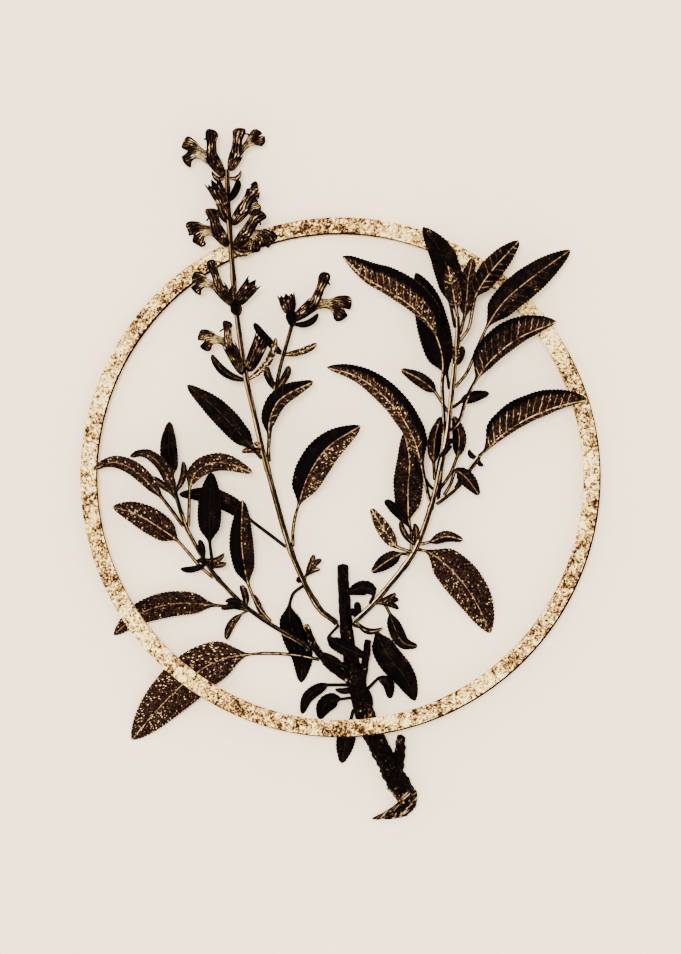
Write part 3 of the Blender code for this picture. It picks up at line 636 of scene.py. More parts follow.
def leaf_tracks(rings):
    """Rings of six as rows of left margin, half way, middle, half way, right margin and keel."""
    tracks = []
    for k, ring in enumerate(rings):
        spans = [(ring[i - 1] - ring[(i + 1) % 6]).length for i in range(6)]
        middle = sum(ring, Vector()) / 6
        near = rings[k + 1] if k + 1 < len(rings) else rings[k - 1]
        along = sum(near, Vector()) / 6 - middle
        if k + 1 == len(rings):
            along = -along
        keel = spans.index(max(spans))
        if max(spans) < 1.2 * min(spans):
            keel = min(range(6), key=lambda i: ring[i].z)
        order = [ring[(keel + 1 + i) % 6] for i in range(6)]
        up = order[2] - order[5]
        if along.cross(up).dot(order[4] - order[0]) < 0:
            order = order[4::-1] + order[5:]
        tracks.append(order)
    return tracks


def leaf_rows(tracks, ends):
    """A leaf's six tracks at even steps, its length at each step, and how far each is blade, from
    0 on the petiole to 1."""
    base, tip = ends
    rows = np.array([[base] * 6] + tracks + [[tip] * 6], float)
    middle = rows.mean(axis=1, keepdims=True)
    spread = np.linalg.norm(rows[:, 4] - rows[:, 0], axis=1)
    stout = np.interp(spread, PETIOLE_SPREAD, (PETIOLE_STOUT, 1.0))
    rows = middle + (rows - middle) * stout[:, None, None]
    places, lengths = even_places(rows[:, 2], LEAF_STEP)
    fine = through(rows.reshape(len(rows), -1), places).reshape(len(places), 6, 3)
    width = np.linalg.norm(fine[:, 4] - fine[:, 0], axis=1)
    depth = np.linalg.norm(fine[:, 2] - fine[:, 5], axis=1)
    blade = np.clip((width / np.maximum(depth, 0.05) - 1.1) / 1.5, 0, 1)
    foot = len(blade) // 8
    blade[:foot] *= np.linspace(0, 1, foot)
    return fine, lengths[:, None], blade[:, None]


def half_widths(fine, across):
    """The width of a leaf's left or right half at each row, for places across it from -1 to 1."""
    left, right = (np.linalg.norm(fine[:, k] - fine[:, 2], axis=1)[:, None] for k in (0, 4))
    return np.where(across < 0, left, right)


def upper_side(fine, lengths, blade, across, seed):
    """A leaf's upper side: puffed up between its veins, curling, and toothed along its margins."""
    top = np.stack([through(row, (across + 1) * 2) for row in fine[:, :5]])
    normal = unit(np.cross(unit(np.gradient(top, axis=1)), unit(np.gradient(top, axis=0))))
    up = (fine[:, 2] - fine[:, 5])[:, None]
    flip = np.sign(np.sum(normal * up, axis=-1, keepdims=True))
    normal = normal * np.where(flip == 0, 1, flip)
    half = half_widths(fine, across)
    reach = np.abs(across) * half
    beat = (lengths - VEIN_RAKE * reach) / VEIN_PITCH % 1.0
    room = np.clip(np.abs(across) * (1 - across ** 4) * 1.6, 0, 1)
    puff = PUFF * (np.abs(np.sin(np.pi * beat)) ** 0.6 - 0.5) * room
    furrow = FURROW * np.exp(-(reach / 0.5) ** 2)
    curl = CURL * wobble(top, 9.0, seed) * across ** 2
    relief = (puff - furrow + curl) * np.clip(half / WIDE_HALF, 0.3, 1) * blade
    top = top + normal * relief[..., None]
    size = np.clip(half.max(axis=1, keepdims=True) / 6.0, 0.35, 1.0)
    teeth = (np.abs(np.sin(np.pi * lengths / TOOTH_PITCH)) ** 0.7 - 0.5) * TOOTH_DEPTH * blade * size
    out = np.clip((np.abs(across) - 0.75) / 0.25, 0, 1) ** 2 * np.sign(across)
    outward = unit(fine[:, 4] - fine[:, 0])[:, None]
    return top + outward * (teeth * out)[..., None]


def under_side(top, fine, blade, back):
    """A leaf's under side, which follows the upper one, with the midrib standing out of it."""
    column = (back + 1) / 2 * TOP_COLUMNS
    under = np.stack([through(row, column) for row in top])
    round_depth = np.sqrt(1 - back ** 2)
    thin_depth = 0.28 * np.sqrt(1 - back ** 4) + 0.72 * np.exp(-(back / 0.16) ** 2)
    depth = blade * thin_depth + (1 - blade) * round_depth
    return under + (fine[:, 5] - fine[:, 2])[:, None] * depth[..., None]


def leaf_surface(name, tracks, ends, gilt):
    """A leaf's fine surface: petiole, puckered blade with toothed margins, and midrib."""
    gilt = Gilt(*gilt)
    fine, lengths, blade = leaf_rows(tracks, ends)
    across = np.linspace(-1, 1, TOP_COLUMNS + 1)
    back = np.linspace(1, -1, UNDER_COLUMNS + 2)[1:-1]
    top = upper_side(fine, lengths, blade, across, len(name))
    points = np.concatenate((top, under_side(top, fine, blade, back)), axis=1)
    spread = np.concatenate((across, back))
    is_left = np.clip(0.5 - spread * 4, 0, 1)
    specks = gilt.left * is_left + gilt.right * (1 - is_left)
    veins = gilt.veins_left * is_left + gilt.veins_right * (1 - is_left)
    dark_band = gilt.dark_left * is_left + gilt.dark_right * (1 - is_left)
    look = shares(points, specks * blade, veins * blade, gilt.edge, gilt.midrib)
    place = shares(points, spread * np.clip(blade * 3, 0, 1), dark_band)
    uv = spread * half_widths(fine, spread), lengths
    return grid(name + "_look", points, uv, look, place, closed=True)


def joined_to_stem(tracks, base):
    """The tracks with two rings more, which take the petiole on into the wood or the stem."""
    first = np.array(tracks[0], float)
    middle = first.mean(axis=0)
    gap, node, share = nearest_stem(middle)
    back = unit(middle - np.array(tracks[1], float).mean(axis=0))
    end = along_stem(node, share) if gap < STEM_REACH else middle + back * WOOD_REACH
    half_way = first + (end - middle) / 2
    deep = end + (first - middle) * 0.8
    more = [[Vector(p) for p in ring] for ring in (deep, half_way)]
    return more + tracks, Vector(end + back * 0.2)


def make_leaves():
    """Every leaf that the CAD holds, from its solid's rings."""
    for node, slot in SLOT.items():
        if slot != "leaf":
            continue
        rings, ends = rings_of(node)
        tracks, base = joined_to_stem(leaf_tracks(rings), ends[0])
        piece = leaf_surface(node, tracks, (base, ends[1]), GILTS.get(node, DARK))
        hold(piece, "leaf", node)


# ---------------- stems

PAINTED_LIGHT_FROM = np.array([-0.75, 0.35, 0.55])  # the direction of the painted light: stems get more gilding, a painted highlight, on the side that faces this way
STEM_STOUT = (1.38, 1.70)  # how much stouter a stem's foot and top look than the CAD's
STEM_GILT = {"flowering_stem": (1.0, 0.42)}  # gilding at a stem's foot and top, where it isn't 0.9
SWELLING = 0.22  # how much thicker a stem is at the shares of its length where leaves grow

NODE_SHARES = {
    "flowering_stem": (0.14, 0.25, 0.42, 0.60, 0.76, 0.87, 0.95),
    "right_stem": (0.24, 0.43, 0.66, 0.82, 0.93),
    "left_stem": (0.23, 0.58, 0.86),
    "right_side_stem": (0.85,),
    "flower_side_stem": (0.45, 0.75),
}


def stalk(name, centres, radii, gilt, square=0.0, step=0.6, columns=20):
    """A fine stalk along a line, square in section where it is asked for. gilt is the strength of
    its gilding, all along it or at each of the line's points."""
    places, lengths = even_places(centres, step)
    line = through(centres, places)
    known = np.arange(len(radii))
    radius = np.interp(places, known, radii)
    strength = np.interp(places, known, np.broadcast_to(gilt, known.shape))
    ahead = unit(np.gradient(line, axis=0))
    side = unit(np.cross(ahead, np.array([0.0, 0.0, 1.0])))
    up = np.cross(side, ahead)
    angle = np.linspace(0, 2 * np.pi, columns, endpoint=False)
    lobes = 1 + square * 0.13 * np.cos(4 * angle + np.pi)
    ring = side[:, None] * np.cos(angle)[None, :, None] + up[:, None] * np.sin(angle)[None, :, None]
    points = line[:, None] + ring * (radius[:, None] * lobes)[..., None]
    points += ring * (wobble(points, 2.2, 3) * 0.10 * radius[:, None])[..., None]
    first_cap = np.repeat(line[:1] - ahead[:1] * radius[0] * 0.3, columns, axis=0)[None]
    last_cap = np.repeat(line[-1:] + ahead[-1:] * radius[-1] * 0.5, columns, axis=0)[None]
    points = np.concatenate((first_cap, points, last_cap))
    # how far each point faces the painted light's direction: the stem material paints a highlight
    # there, the petal material paints buds and styles darker there
    painted_light = (ring @ unit(PAINTED_LIGHT_FROM)).clip(0, 1)
    lengths, strength, painted_light = (np.concatenate((a[:1], a, a[-1:])) for a in (lengths, strength, painted_light))
    girth_mm = 2 * np.pi * radius.mean()
    uv = angle / (2 * np.pi) * girth_mm, lengths[:, None]
    return grid(name, points, uv, shares(points, strength[:, None], painted_light), closed=True, turn=girth_mm)


def make_stems():
    """The five stems, swollen where leaves grow from them."""
    for node, swellings in NODE_SHARES.items():
        centres, radii = STEM_LINES[node]
        places = np.arange(len(radii)) / (len(radii) - 1)
        fine = np.linspace(0, 1, 8 * len(radii))
        line = through(centres, fine * (len(centres) - 1))
        thick = np.interp(fine, places, radii) * np.interp(fine, (0, 1), STEM_STOUT)
        for share in swellings:
            thick = thick * (1 + SWELLING * np.exp(-((fine - share) / 0.012) ** 2))
        gilt = np.interp(fine, (0, 1), STEM_GILT.get(node, (0.9, 0.9)))
        hold(stalk(node + "_look", line, thick, gilt, square=1.0), "stem", node)


# ---------------- wood

BARK_STEP = 0.55  # between the bark's vertices
ROUGH_FROM = -135.0  # bark is rougher the further it lies below this Y
RIDGES_RUN = np.array([0.5, -0.87, 0.0])  # along the foot of the trunk, across its ridges
RIDGE_PITCH = 4.4
RIDGED_FROM = -149.0
HEEL_FROM = -182.0  # the torn heel's fibres start below this Y
TABLE_GAP = 0.02


def remeshed(node, name):
    """A new object with a CAD node's shape and small even faces."""
    piece = bpy.data.objects.new(name, NODES[node].data.copy())
    bpy.context.scene.collection.objects.link(piece)
    piece.data.materials.clear()
    even = piece.modifiers.new("even", "REMESH")
    even.mode = "VOXEL"
    even.voxel_size = BARK_STEP * MM
    soften = piece.modifiers.new("soften", "SMOOTH")
    soften.iterations = 6
    graph = bpy.context.evaluated_depsgraph_get()
    fine = bpy.data.meshes.new_from_object(piece.evaluated_get(graph))
    piece.modifiers.clear()
    piece.data = fine
    return piece


def bark_height(points):
    """How far bark stands out at each point: grain, knots, ridges across the trunk's foot, and
    fibres along its torn heel."""
    y = points[:, 1]
    grain = wobble(points * np.array([1.0, 0.28, 1.0]), 1.5, 1)
    knots = wobble(points, 4.2, 2)
    crumb = wobble(points, 0.9, 5)
    rough = 1 + 1.3 * np.clip((ROUGH_FROM - y) / 20, 0, 1)
    ridges = np.sin(2 * np.pi * (points @ unit(RIDGES_RUN)) / RIDGE_PITCH + 4.5 * knots)
    ridges = ridges * np.clip((RIDGED_FROM - y) / 8, 0, 1)
    height = 0.30 * grain + 0.42 * knots * rough + 0.16 * crumb * rough + 0.30 * ridges
    fibre = wobble(points * np.array([0.25, 1.1, 1.0]), 0.9, 9)
    torn = np.clip((HEEL_FROM - y) / 8, 0, 1)
    return height * (1 - torn) + torn * 0.55 * fibre


def make_wood():
    """The trunk, its arm and its stubs, covered in bark that nowhere goes below the table."""
    wood = remeshed("woody_base", "woody_base_look")
    vertices = wood.data.vertices
    points, normal = np.empty((2, len(vertices) * 3))
    vertices.foreach_get("co", points)
    vertices.foreach_get("normal", normal)
    points = points.reshape(-1, 3) / MM
    normal = normal.reshape(-1, 3)
    height = bark_height(points)
    down = -normal[:, 2]
    room = np.maximum(points[:, 2] / np.maximum(down, 1e-3), 0)
    height = np.where(down > 0, np.minimum(height, room), height)
    points = points + normal * height[:, None]
    points[:, 2] = np.maximum(points[:, 2], TABLE_GAP)
    vertices.foreach_set("co", (points * MM).ravel())
    wood.data.shade_smooth()
    hold(wood, "bark", "woody_base")

# ---------------- flowers

COLLAR_RING = 5
COLLAR_SHARE = 0.72  # the CAD calyx's ring of that number is at this share of the way to the throat
TIP_GAP = 3.0  # the tips of the CAD's petals are further than this from the throat
TIP_AHEAD = 5.0  # and further than this from the stalk's end, along the calyx
STYLE_RADII = np.array([0.35, 0.35, 0.4, 0.6])
SIDE_CALYX_RUN = np.array([-3.5, 15.5, 1.5])
CALYX_SHARES = (0.0, 0.05, 0.14, 0.36, 0.66, 1.0)
OPEN_CALYX = (0.7, 1.7, 2.3, 3.1, 3.8, 4.3)  # radii at those shares, with petals in the mouth
SHUT_CALYX = (0.7, 2.2, 3.1, 3.9, 4.3, 4.6)  # the same, without
CALYX_RIBS = 15
CALYX_GIRTH = CALYX_RIBS * 1.16 / (2 * np.pi)  # gives each rib one of the material's stripes
CALYX_GILT, HOOD_GILT, LIP_GILT = 0.20, 0.30, 0.34
CALYX_WALL, HOOD_WALL, LIP_WALL = 0.35, 0.30, 0.28
HOOD_SHARES = (0, 0.3, 0.6, 0.8, 1)
HOOD_WIDTHS = (2.7, 3.1, 3.2, 3.8, 3.8)
HOOD_WRAPS = (3.0, 2.6, 2.1, 2.5, 3.0)  # how far each half wraps round, in radians
LIP_SHARES = (0, 0.26, 0.38, 0.50, 0.58, 0.66, 0.78, 0.9, 1)
LIP_WIDTHS = (2.6, 2.9, 4.8, 3.2, 3.7, 6.0, 8.0, 8.6, 8.2)
BOW_SHARES = (0, 0.35, 0.6, 0.85, 1)
LIP_BOWS = (2.6, 1.3, 0.5, 0.35, 0.6)  # how far each half bends round, in radians

PETAL_SIZES = {  # sizes of a flower's hood and lip, where they aren't 1
    "flower_top_left": (1.1, 1.12),
    "flower_top_right": (1.12, 0.68),
    "flower_second_left": (1.1, 1.05),
    "flower_second_right": (1.2, 1.25),
    "flower_third_right": (1.15, 1.55),
    "flower_first_left": (0.85, 0.85),
    "flower_low_left": (0.85, 0.8),
}


def flower_marks(name):
    """Stalk end, throat, and where there are petals the tips of the hood and the lip."""
    shape = welded(name)
    poles = [v for v in shape.verts if len(v.link_edges) == 8 and len(layers_from(v)[2]) == 8]
    base = min(poles, key=lambda v: nearest_stem(np.array(v.co))[0])
    rows = layers_from(base)
    collar = sum((v.co for v in rows[COLLAR_RING]), Vector()) / len(rows[COLLAR_RING])
    start = base.co.copy()
    throat = start + (collar - start) / COLLAR_SHARE
    axis = (throat - start).normalized()
    tips = [v for v in poles
            if (v.co - throat).length > TIP_GAP and (v.co - start).dot(axis) > TIP_AHEAD]
    marks = [start, throat]
    if len(tips) >= 2:
        pairs = [(a, b) for a in tips for b in tips if a.index < b.index]
        pair = max(pairs, key=lambda two: (two[0].co - two[1].co).length)
        blunt = {v: sum((e.other_vert(v).co - v.co).length for e in v.link_edges) for v in pair}
        marks += [v.co.copy() for v in sorted(pair, key=blunt.get)]
    shape.free()
    return [np.array(mark) for mark in marks]


def bell(name, start, throat, petals):
    """A ribbed calyx with pointed teeth round its mouth, longer where no petals fill it."""
    axis = unit(throat - start)
    length = np.linalg.norm(throat - start)
    side = unit(np.cross(axis, np.array([0.0, 0.0, 1.0])))
    up = np.cross(side, axis)
    angle = np.linspace(0, 2 * np.pi, 5 * CALYX_RIBS, endpoint=False)
    rows = np.linspace(0, 1, 34)[:, None]
    tooth = np.abs(((5 * angle / (2 * np.pi) + 0.25) % 1) - 0.5) * 2
    mouth = 0.66 + 0.24 * tooth ** 1.6 if petals else 0.80 + 0.32 * tooth ** 1.4
    along = rows * mouth * length
    radius = np.interp(rows * mouth.mean(), CALYX_SHARES, OPEN_CALYX if petals else SHUT_CALYX)
    radius = radius * (1 + 0.055 * np.cos(CALYX_RIBS * angle) * np.sin(np.pi * rows))
    radius = radius + (0.9 * tooth - 0.3) * rows ** 5 * (0.4 if petals else 0.8)
    points = start + axis * along[..., None] + radius[..., None] * (
        side * np.cos(angle)[None, :, None] + up * np.sin(angle)[None, :, None])
    uv = angle * CALYX_GIRTH, along
    rim = np.clip(rows * 8 - 7, 0, 1) + np.clip(1 - rows * 8, 0, 1)
    look = shares(points, CALYX_GILT, rim)
    made = grid(name, points, uv, look, closed=True, turn=2 * np.pi * CALYX_GIRTH)
    return thicken(made, CALYX_WALL)


def petal_line(throat, end, axis, rise, inside):
    """A line from inside the throat to a petal's end, its direction at each point, and shares of
    its length as a column."""
    start = throat - axis * inside
    bend = (throat + end) / 2 + axis * rise
    knots = np.array([start, start * 0.35 + throat * 0.65, bend, end])
    v = np.sin(np.linspace(0, np.pi / 2, 56))
    line = through(knots, v * 3)
    return line, unit(np.gradient(line, axis=0)), v[:, None]


def rims(u, v):
    """How near each point of a petal is to its long margins or its end."""
    return np.clip(np.maximum(np.abs(u) * 5 - 4, v * 8 - 7), 0, 1)


def hood(name, throat, tip, lip_tip, axis, size):
    """The upper petal: a channel that arches over and closes at its rounded tip."""
    line, ahead, v = petal_line(throat, tip, axis, rise=1.4, inside=5.5)
    down = unit(lip_tip - tip)
    down = unit(down - ahead * np.sum(down * ahead, axis=1, keepdims=True))
    side = np.cross(ahead, down)
    u = np.linspace(-1, 1, 33)
    width = np.interp(v, HOOD_SHARES, HOOD_WIDTHS) * size
    width = width * np.sqrt(1.002 - np.clip((v - 0.78) / 0.22, 0, 1) ** 2)
    width = width * (1 + 0.05 * np.cos(16 * u) * np.sin(np.pi * v))
    angle = np.interp(v, HOOD_SHARES, HOOD_WRAPS) * u
    points = line[:, None] + width[..., None] * (
        side[:, None] * np.sin(angle)[..., None] - down[:, None] * np.cos(angle)[..., None])
    look = shares(points, HOOD_GILT - 0.12 * np.clip(v * 2 - 1, 0, 1), rims(u, v))
    return thicken(grid(name, points, (u * 5.6, v * 16), look), HOOD_WALL)


def lip(name, throat, end, tip, axis, size, seed):
    """The lower petal: a neck with two small side lobes, then a broad notched and pleated fan."""
    line, ahead, v = petal_line(throat, end, axis, rise=1.8, inside=4.5)
    up = np.array([0.0, 0.0, 0.9]) + unit(tip - end) * 0.45
    up = unit(up - ahead * (ahead @ up)[:, None])
    side = np.cross(ahead, up)
    u = np.linspace(-1, 1, 49)
    width = np.interp(v, LIP_SHARES, LIP_WIDTHS) * size
    bow = np.interp(v, BOW_SHARES, LIP_BOWS)
    sideways = width * np.sin(bow * u) / bow
    drop = width * (1 - np.cos(bow * u)) / bow
    fan = np.clip(v * 3 - 2, 0, 1) ** 2
    pleat = 0.28 * np.cos(u * 22) * np.clip(v * 2 - 1, 0, 1)
    dish = 1.1 * np.cos(np.pi * (2 * np.abs(u) - 1)) * fan
    ruffle = 1.2 * np.sin(u * 6 + seed) * fan
    curl = (1.0 + 0.9 * u ** 2) * np.clip(v * 2.5 - 1.5, 0, 1) ** 2
    notch = 4.4 * np.exp(-(u / 0.17) ** 2) + 5.5 * (1 - np.sqrt(1 - 0.97 * u ** 2))
    notch = notch * np.clip(v * 2.2 - 1.2, 0, 1) ** 2
    points = line[:, None] + side[:, None] * sideways[..., None]
    points += up[:, None] * (pleat - dish + ruffle - drop - curl)[..., None]
    points -= ahead[:, None] * notch[..., None]
    neck_glow = 0.22 * np.exp(-((v - 0.55) / 0.16) ** 2)
    look = shares(points, LIP_GILT - 0.10 + neck_glow, rims(u, v))
    return thicken(grid(name, points, (u * 6.4, v * 17), look), LIP_WALL)


def make_flower(node, seed):
    """A calyx and, where its petals haven't dropped, a hood, a lip and a style."""
    start, throat, *tips = flower_marks(node)
    axis = unit(throat - start)
    hold(bell(node + "_calyx", start, throat, bool(tips)), "petal", node)
    if not tips:
        return
    tip, end = tips
    hood_size, lip_size = PETAL_SIZES.get(node, (1.0, 1.0))
    hold(hood(node + "_hood", throat, tip, end, axis, hood_size), "petal")
    hold(lip(node + "_lip", throat, end, tip, axis, lip_size, seed), "petal")
    out = unit(end - tip)
    back = unit(tip - throat)
    bend = (throat + tip) / 2 + out * 1.5
    style = np.array([throat, bend, tip - back * 3.0 + out * 2.5, tip - back * 2.5 + out * 6.0])
    hold(stalk(node + "_style", style, STYLE_RADII, gilt=0.1, columns=8), "petal")


def make_flowers():
    """Every flower and calyx that the CAD holds."""
    for seed, (node, slot) in enumerate(SLOT.items()):
        if slot == "petal":
            make_flower(node, seed)


# ---------------- small leaves and buds

# A small leaf: the share of the way up its stem, or the wood's Y, that it grows from, the angle
# in degrees that it points at (0 is along X, 90 is along Y), its length and half width, how far
# its middle bows to its right, how far its tip rises, its gilding and the length of its bare stalk
Sprout = namedtuple("Sprout", "root angle length half bend rise gilt stalk", defaults=(PLAIN, 0.0))
SPROUTS = (
    ("left_stem", (
        (0.97, 75, 18.5, 2.2, 2.0, 1.5),
        (0.93, 138, 20.5, 2.4, 1.0, 2.0, PLAIN, 6.0),
        (0.67, 102, 11.5, 1.9, 0.5, 3.0, DARK),
        (0.67, 14, 12.5, 2.0, 2.5, 3.5),
        (0.66, -6, 12.5, 2.0, 1.5, 1.5),
        (0.65, 192, 15.5, 2.1, -1.5, 0.5, DARK),
        (0.64, 150, 7.5, 1.6, 1.0, 2.5, DARK),
        (0.42, 102, 13.0, 2.6, 1.0, 3.0),
        (0.42, 164, 12.5, 2.0, 1.5, 2.0, DARK),
        (0.42, 184, 14.5, 2.0, 1.0, 1.0, DARK),
        (0.40, 231, 22.0, 3.2, 3.0, -2.0, PLAIN, 5.0),
        (0.31, 117, 18.5, 2.2, -0.5, 3.0, BRACT),
    )),
    ("flowering_stem", (
        (0.19, 68, 16.5, 2.0, 0.5, 4.0, PLAIN, 3.0),
        (0.19, 51, 16.5, 2.0, -1.5, 3.0, PLAIN, 4.0),
        (0.19, 36, 12.0, 1.8, -2.0, 2.0, BRACT, 3.0),
        (0.19, 165, 4.5, 1.9, 0.0, 1.0, DARK),
        (0.45, 176, 12.5, 2.0, 1.5, 1.0, BRACT),
        (0.45, 128, 8.0, 1.6, 1.0, 3.0, BRACT),
        (0.59, 144, 25.0, 3.3, -3.5, 2.0, (0.15, 0.4, 0, 0.2, 0.8, 0.2)),
        (0.59, 55, 30.0, 2.6, 4.0, 6.0, (1.1, 1.1, 0.9, 0.9, 1, 1)),
        (0.71, 95, 12.0, 3.0, -1.0, 5.0),
        (0.71, 58, 14.5, 3.2, 2.0, 3.0),
        (0.92, 62, 14.0, 2.8, 1.0, 3.0, DARK),
        (0.87, 118, 12.0, 2.6, -1.0, 3.0),
        (0.82, -14, 12.5, 2.2, 2.5, 2.0, BRACT),
        (0.98, 163, 9.5, 1.5, -3.0, 2.0, BRACT),
        (0.98, 22, 9.0, 1.5, 3.0, 2.0, BRACT),
    )),
    ("flower_side_stem", (
        (0.50, 112, 16.5, 2.9, -1.0, 1.5),
        (0.50, 60, 16.0, 2.9, 1.0, 2.0),
        (0.73, 18, 20.5, 2.5, 1.5, 2.0, (0.9, 0.7, 0.5, 0.5, 0.8, 0.8)),
        (0.73, 133, 25.0, 3.0, -1.0, -2.0, DARK),
        (0.73, 165, 7.0, 1.5, 1.0, 2.0, DARK),
        (0.98, 20, 16.5, 2.3, 3.0, 0.5, DARK),
    )),
    ("right_stem", (
        (0.29, 92, 15.0, 2.1, 1.0, 3.0),
        (0.30, 124, 17.5, 2.0, -2.0, 2.0, (0.3, 0.3, 0, 0, 0.9, 0.4)),
        (0.31, 128, 31.0, 3.8, 1.5, 2.0, DARK, 12.0),
        (0.50, 104, 31.0, 2.1, -6.0, 1.0, DARK),
    )),
    ("right_side_stem", ((0.10, 86, 29.0, 2.2, -1.0, 3.0, DARK),)),
    ("right_stem", (
        (0.60, 55, 9.0, 1.7, -1.0, 3.0, DARK),
        (0.63, 25, 8.5, 1.6, -2.0, 3.0, DARK),
    )),
    ("right_side_stem", ((0.45, 62, 9.0, 1.7, 1.0, 3.0),)),
    ("right_stem", (
        (0.86, 68, 12.5, 2.6, 1.0, 3.0, DARK),
        (0.86, 88, 11.5, 2.0, 0.5, 4.5, BRACT),
    )),
    ("right_side_stem", (
        (0.97, 140, 7.5, 1.6, -1.5, 2.0, DARK),
        (0.97, -60, 5.5, 1.3, 1.0, 1.0, DARK),
    )),
    ("right_stem", (
        (0.115, 25, 15.0, 2.0, 1.0, 3.5, PLAIN, 2.0),
        (0.115, 11, 15.5, 2.0, -0.5, 3.0, DARK, 2.0),
        (0.115, -9, 15.5, 1.9, -2.0, 2.0, DARK, 2.0),
        (0.04, 100, 9.0, 2.4, 0.0, 2.0, DARK),
        (0.04, 140, 7.0, 2.2, 0.0, 2.5, DARK),
        (0.01, -16, 16.5, 2.0, 4.0, 3.0, (0.3, 0.3, 0, 0, 0.9, 0.6)),
    )),
)
WOOD_SPROUTS = (
    (-117.0, -50, 22.0, 2.2, -3.0, 1.0, DARK),
    (-119.0, 143, 17.0, 2.3, 2.0, 2.0, DARK),
    (-120.0, 196, 15.0, 2.0, -2.5, 1.0, DARK),
    (-113.0, 152, 21.0, 2.1, 2.0, 2.0, DARK),
)

# A closed bud: the stem that it grows from and the share of the way up it, the angle that it
# points at, its length and radius, how far behind that point it starts, its rise and its gilding
Bud = namedtuple("Bud", "stem share angle length radius behind rise gilt")
BUDS = (
    Bud("flowering_stem", 0.905, 160, 7.5, 2.8, 0.0, 1.5, 0.32),
    Bud("flowering_stem", 0.71, 100, 9.5, 3.5, 6.0, 2.0, 0.18),
    Bud("flower_side_stem", 1.0, 98, 11.0, 3.3, 2.5, 2.5, 0.12),
)
BUD_PROFILE = (0.30, 0.72, 0.95, 1.0, 0.92, 0.66, 0.25)


def pointing(angle):
    """The level direction at an angle in degrees from X."""
    turn = math.radians(angle)
    return np.array([math.cos(turn), math.sin(turn), 0.0])


def small_leaf(name, root, sprout):
    """A small folded leaf from a point, built from rings like those of the CAD's leaves."""
    ahead = pointing(sprout.angle)
    left = np.array([-ahead[1], ahead[0], 0.0])
    up = np.array([0.0, 0.0, 1.0])
    bare = sprout.stalk / sprout.length
    tracks = []
    for share in np.linspace(0.0, 0.97, 9):
        bow = 4 * share * (1 - share) * sprout.bend
        centre = root + ahead * sprout.length * share - left * bow + up * sprout.rise * share ** 0.7
        blade = np.clip((share - bare) / (1 - bare), 0, 1)
        half = max(sprout.half * (blade ** 0.75 * (1 - blade) ** 0.55) * 1.9, 0.55)
        fold = 0.22 * half
        keel = centre - up * max(0.55, 0.25 * half)
        offsets = ((1, fold), (0.5, fold * 0.7), (0, 0), (-0.5, fold * 0.7), (-1, fold))
        ring = [centre + left * half * across + up * (lift + 0.25) for across, lift in offsets]
        tracks.append([Vector(p) for p in ring + [keel]])
    tip = root + ahead * sprout.length + up * sprout.rise
    piece = leaf_surface(name, tracks, (Vector(root - ahead * 0.4), Vector(tip)), sprout.gilt)
    return hold(piece, "leaf")


def wood_point(y):
    """The middle of the branch's trunk at a Y."""
    points = np.array([v.co for v in NODES["woody_base"].data.vertices], float) / MM
    near = points[np.abs(points[:, 1] - y) < 4]
    return np.array([np.median(near[:, 0]), y, near[:, 2].mean()])


def make_sprouts():
    """The leaves, bracts and tufts that are too small to be CAD nodes."""
    sprouts = [(stem, Sprout(*row)) for stem, rows in SPROUTS for row in rows]
    for count, (stem, sprout) in enumerate(sprouts):
        small_leaf(f"small_leaf_{count}", along_stem(stem, sprout.root), sprout)
    for count, sprout in enumerate(Sprout(*row) for row in WOOD_SPROUTS):
        small_leaf(f"wood_leaf_{count}", wood_point(sprout.root), sprout)


def make_buds():
    """The closed buds, which are short stalks of a bud's profile."""
    for count, bud in enumerate(BUDS):
        ahead = pointing(bud.angle)
        start = along_stem(bud.stem, bud.share) - ahead * bud.behind
        steps = np.linspace(0, 1, len(BUD_PROFILE))[:, None]
        centres = start + steps * (ahead * bud.length + np.array([0.0, 0.0, bud.rise]))
        radii = np.array(BUD_PROFILE) * bud.radius
        hold(stalk(f"bud_{count}", centres, radii, bud.gilt, step=0.45, columns=28), "petal")


def make_side_calyx():
    """A small empty calyx beside the side flower, on a bead at the end of its stem."""
    root = along_stem("flower_side_stem", 1.0)
    top = root + SIDE_CALYX_RUN
    hold(bell("side_calyx", root + (top - root) * 0.35, top, False), "petal")


# ---------------- hoop

HOOP_ROUND = 0.35  # how far the hoop's edges are rounded off
HOOP_COLUMNS = 360


def hoop_profile(inner, outer, low, high):
    """The hoop's section as radii and heights, from its inner wall over its face and round."""
    r = HOOP_ROUND
    face = [(inner + r + (outer - inner - 2 * r) * share, high) for share in (0.1, 0.3, 0.5, 0.7, 0.9)]
    return np.array([
        (inner + 0.02, low + r), (inner, 0), (inner + 0.05, high - r), (inner + r, high - 0.03),
        *face,
        (outer - r, high - 0.03), (outer - 0.05, high - r), (outer, 0), (outer - 0.02, low + r),
        (outer - r, low), (inner + r, low)])


def make_hoop():
    """The flat gilded hoop, turned from its section in the plane that the CAD's hoop leans in."""
    points = np.array([v.co for v in NODES["hoop"].data.vertices], float) / MM
    centre = (points.max(axis=0) + points.min(axis=0)) / 2
    lean = points[points[:, 1].argmax()] - points[points[:, 1].argmin()]
    side = np.array([1.0, 0.0, 0.0])
    ahead = unit(lean * (1 - side))
    up = np.cross(side, ahead)
    flat = points - centre
    radius = np.hypot(flat @ side, flat @ ahead)
    height = flat @ up
    inner, outer = radius.min(), radius.max()
    profile = hoop_profile(inner, outer, height.min(), height.max())
    angle = np.linspace(0, 2 * np.pi, HOOP_COLUMNS + 1)[:, None]
    spoke = side * np.cos(angle) + ahead * np.sin(angle)
    rows = centre + spoke[:, None] * profile[:, :1] + up * profile[:, 1:]
    MATERIALS["gold_leaf"] = hoop_material(centre, inner, outer)
    hold(grid("hoop_look", rows, (profile[:, 0], angle * outer), closed=True), "gold_leaf", "hoop")

# ---------------- stage

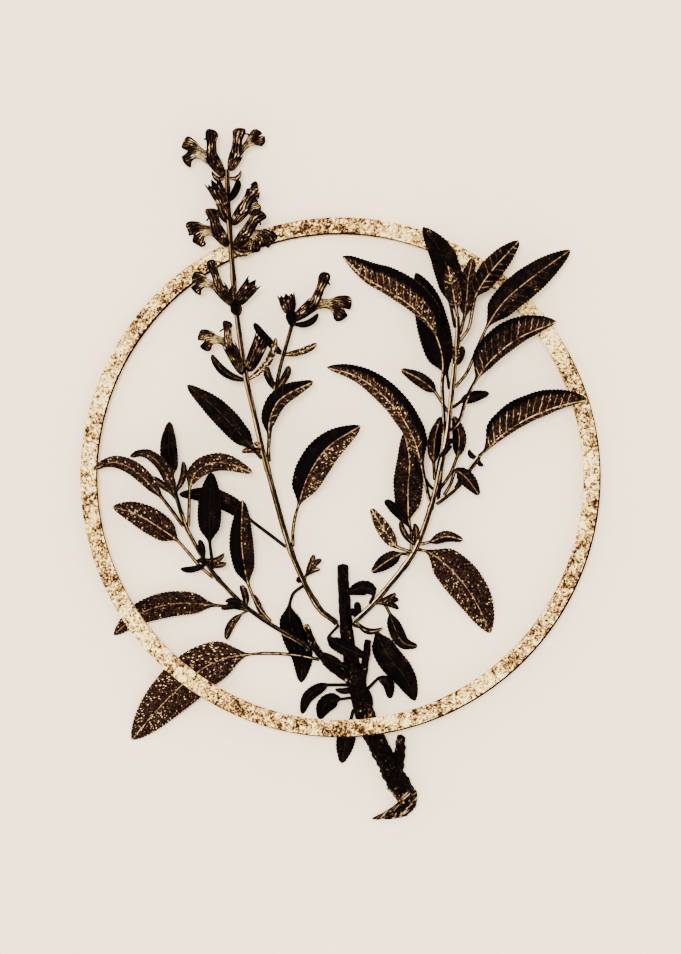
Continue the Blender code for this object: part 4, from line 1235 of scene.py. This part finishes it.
PAPER_HALF = 3.0  # half of the paper's side, in metres
ROOM_COLOUR = (1.0, 0.985, 0.96, 1)
WORLD_STRENGTH = 2.85
SUN_STRENGTH = 4.0
SUN_SPREAD = 12.0  # degrees
SUN_FROM = (-0.10, 0.10, 1.0)
VIEW_HEIGHT = 0.5514  # how much of the paper the picture's long side covers, in metres
CAMERA_HEIGHT = 3.0


def make_paper():
    """The sheet of paper that the object lies on."""
    corners = [(x * PAPER_HALF, y * PAPER_HALF, 0) for x, y in ((-1, -1), (1, -1), (1, 1), (-1, 1))]
    mesh = bpy.data.meshes.new("paper")
    mesh.from_pydata(corners, [], [(0, 1, 2, 3)])
    mesh.materials.append(paper_material())
    paper = bpy.data.objects.new("paper", mesh)
    paper.location.z = first_box[0][2] - TABLE_GAP * MM
    bpy.context.scene.collection.objects.link(paper)


def make_lights():
    """A bright room, and a soft light from nearly straight above."""
    world = bpy.data.worlds.new("room")
    world.use_nodes = True
    background = world.node_tree.nodes["Background"]
    background.inputs["Color"].default_value = ROOM_COLOUR
    background.inputs["Strength"].default_value = WORLD_STRENGTH
    bpy.context.scene.world = world
    light = bpy.data.lights.new("skylight", "SUN")
    light.energy = SUN_STRENGTH
    light.angle = math.radians(SUN_SPREAD)
    lamp = bpy.data.objects.new("skylight", light)
    lamp.rotation_euler = (-Vector(SUN_FROM)).to_track_quat("-Z", "Y").to_euler()
    bpy.context.scene.collection.objects.link(lamp)


def make_camera(centre):
    """A camera that looks straight down on the middle of the hoop."""
    camera = bpy.data.cameras.new("camera")
    camera.lens = camera.sensor_width * CAMERA_HEIGHT / VIEW_HEIGHT
    camera.clip_end = 20
    viewer = bpy.data.objects.new("camera", camera)
    viewer.location = (centre[0], centre[1], CAMERA_HEIGHT)
    bpy.context.scene.collection.objects.link(viewer)
    bpy.context.scene.camera = viewer

make_hoop()
make_wood()
make_stems()
make_leaves()
make_flowers()
make_sprouts()
make_buds()
make_side_calyx()
make_paper()
make_lights()
low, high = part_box("hoop")
make_camera((low + high) / 2)
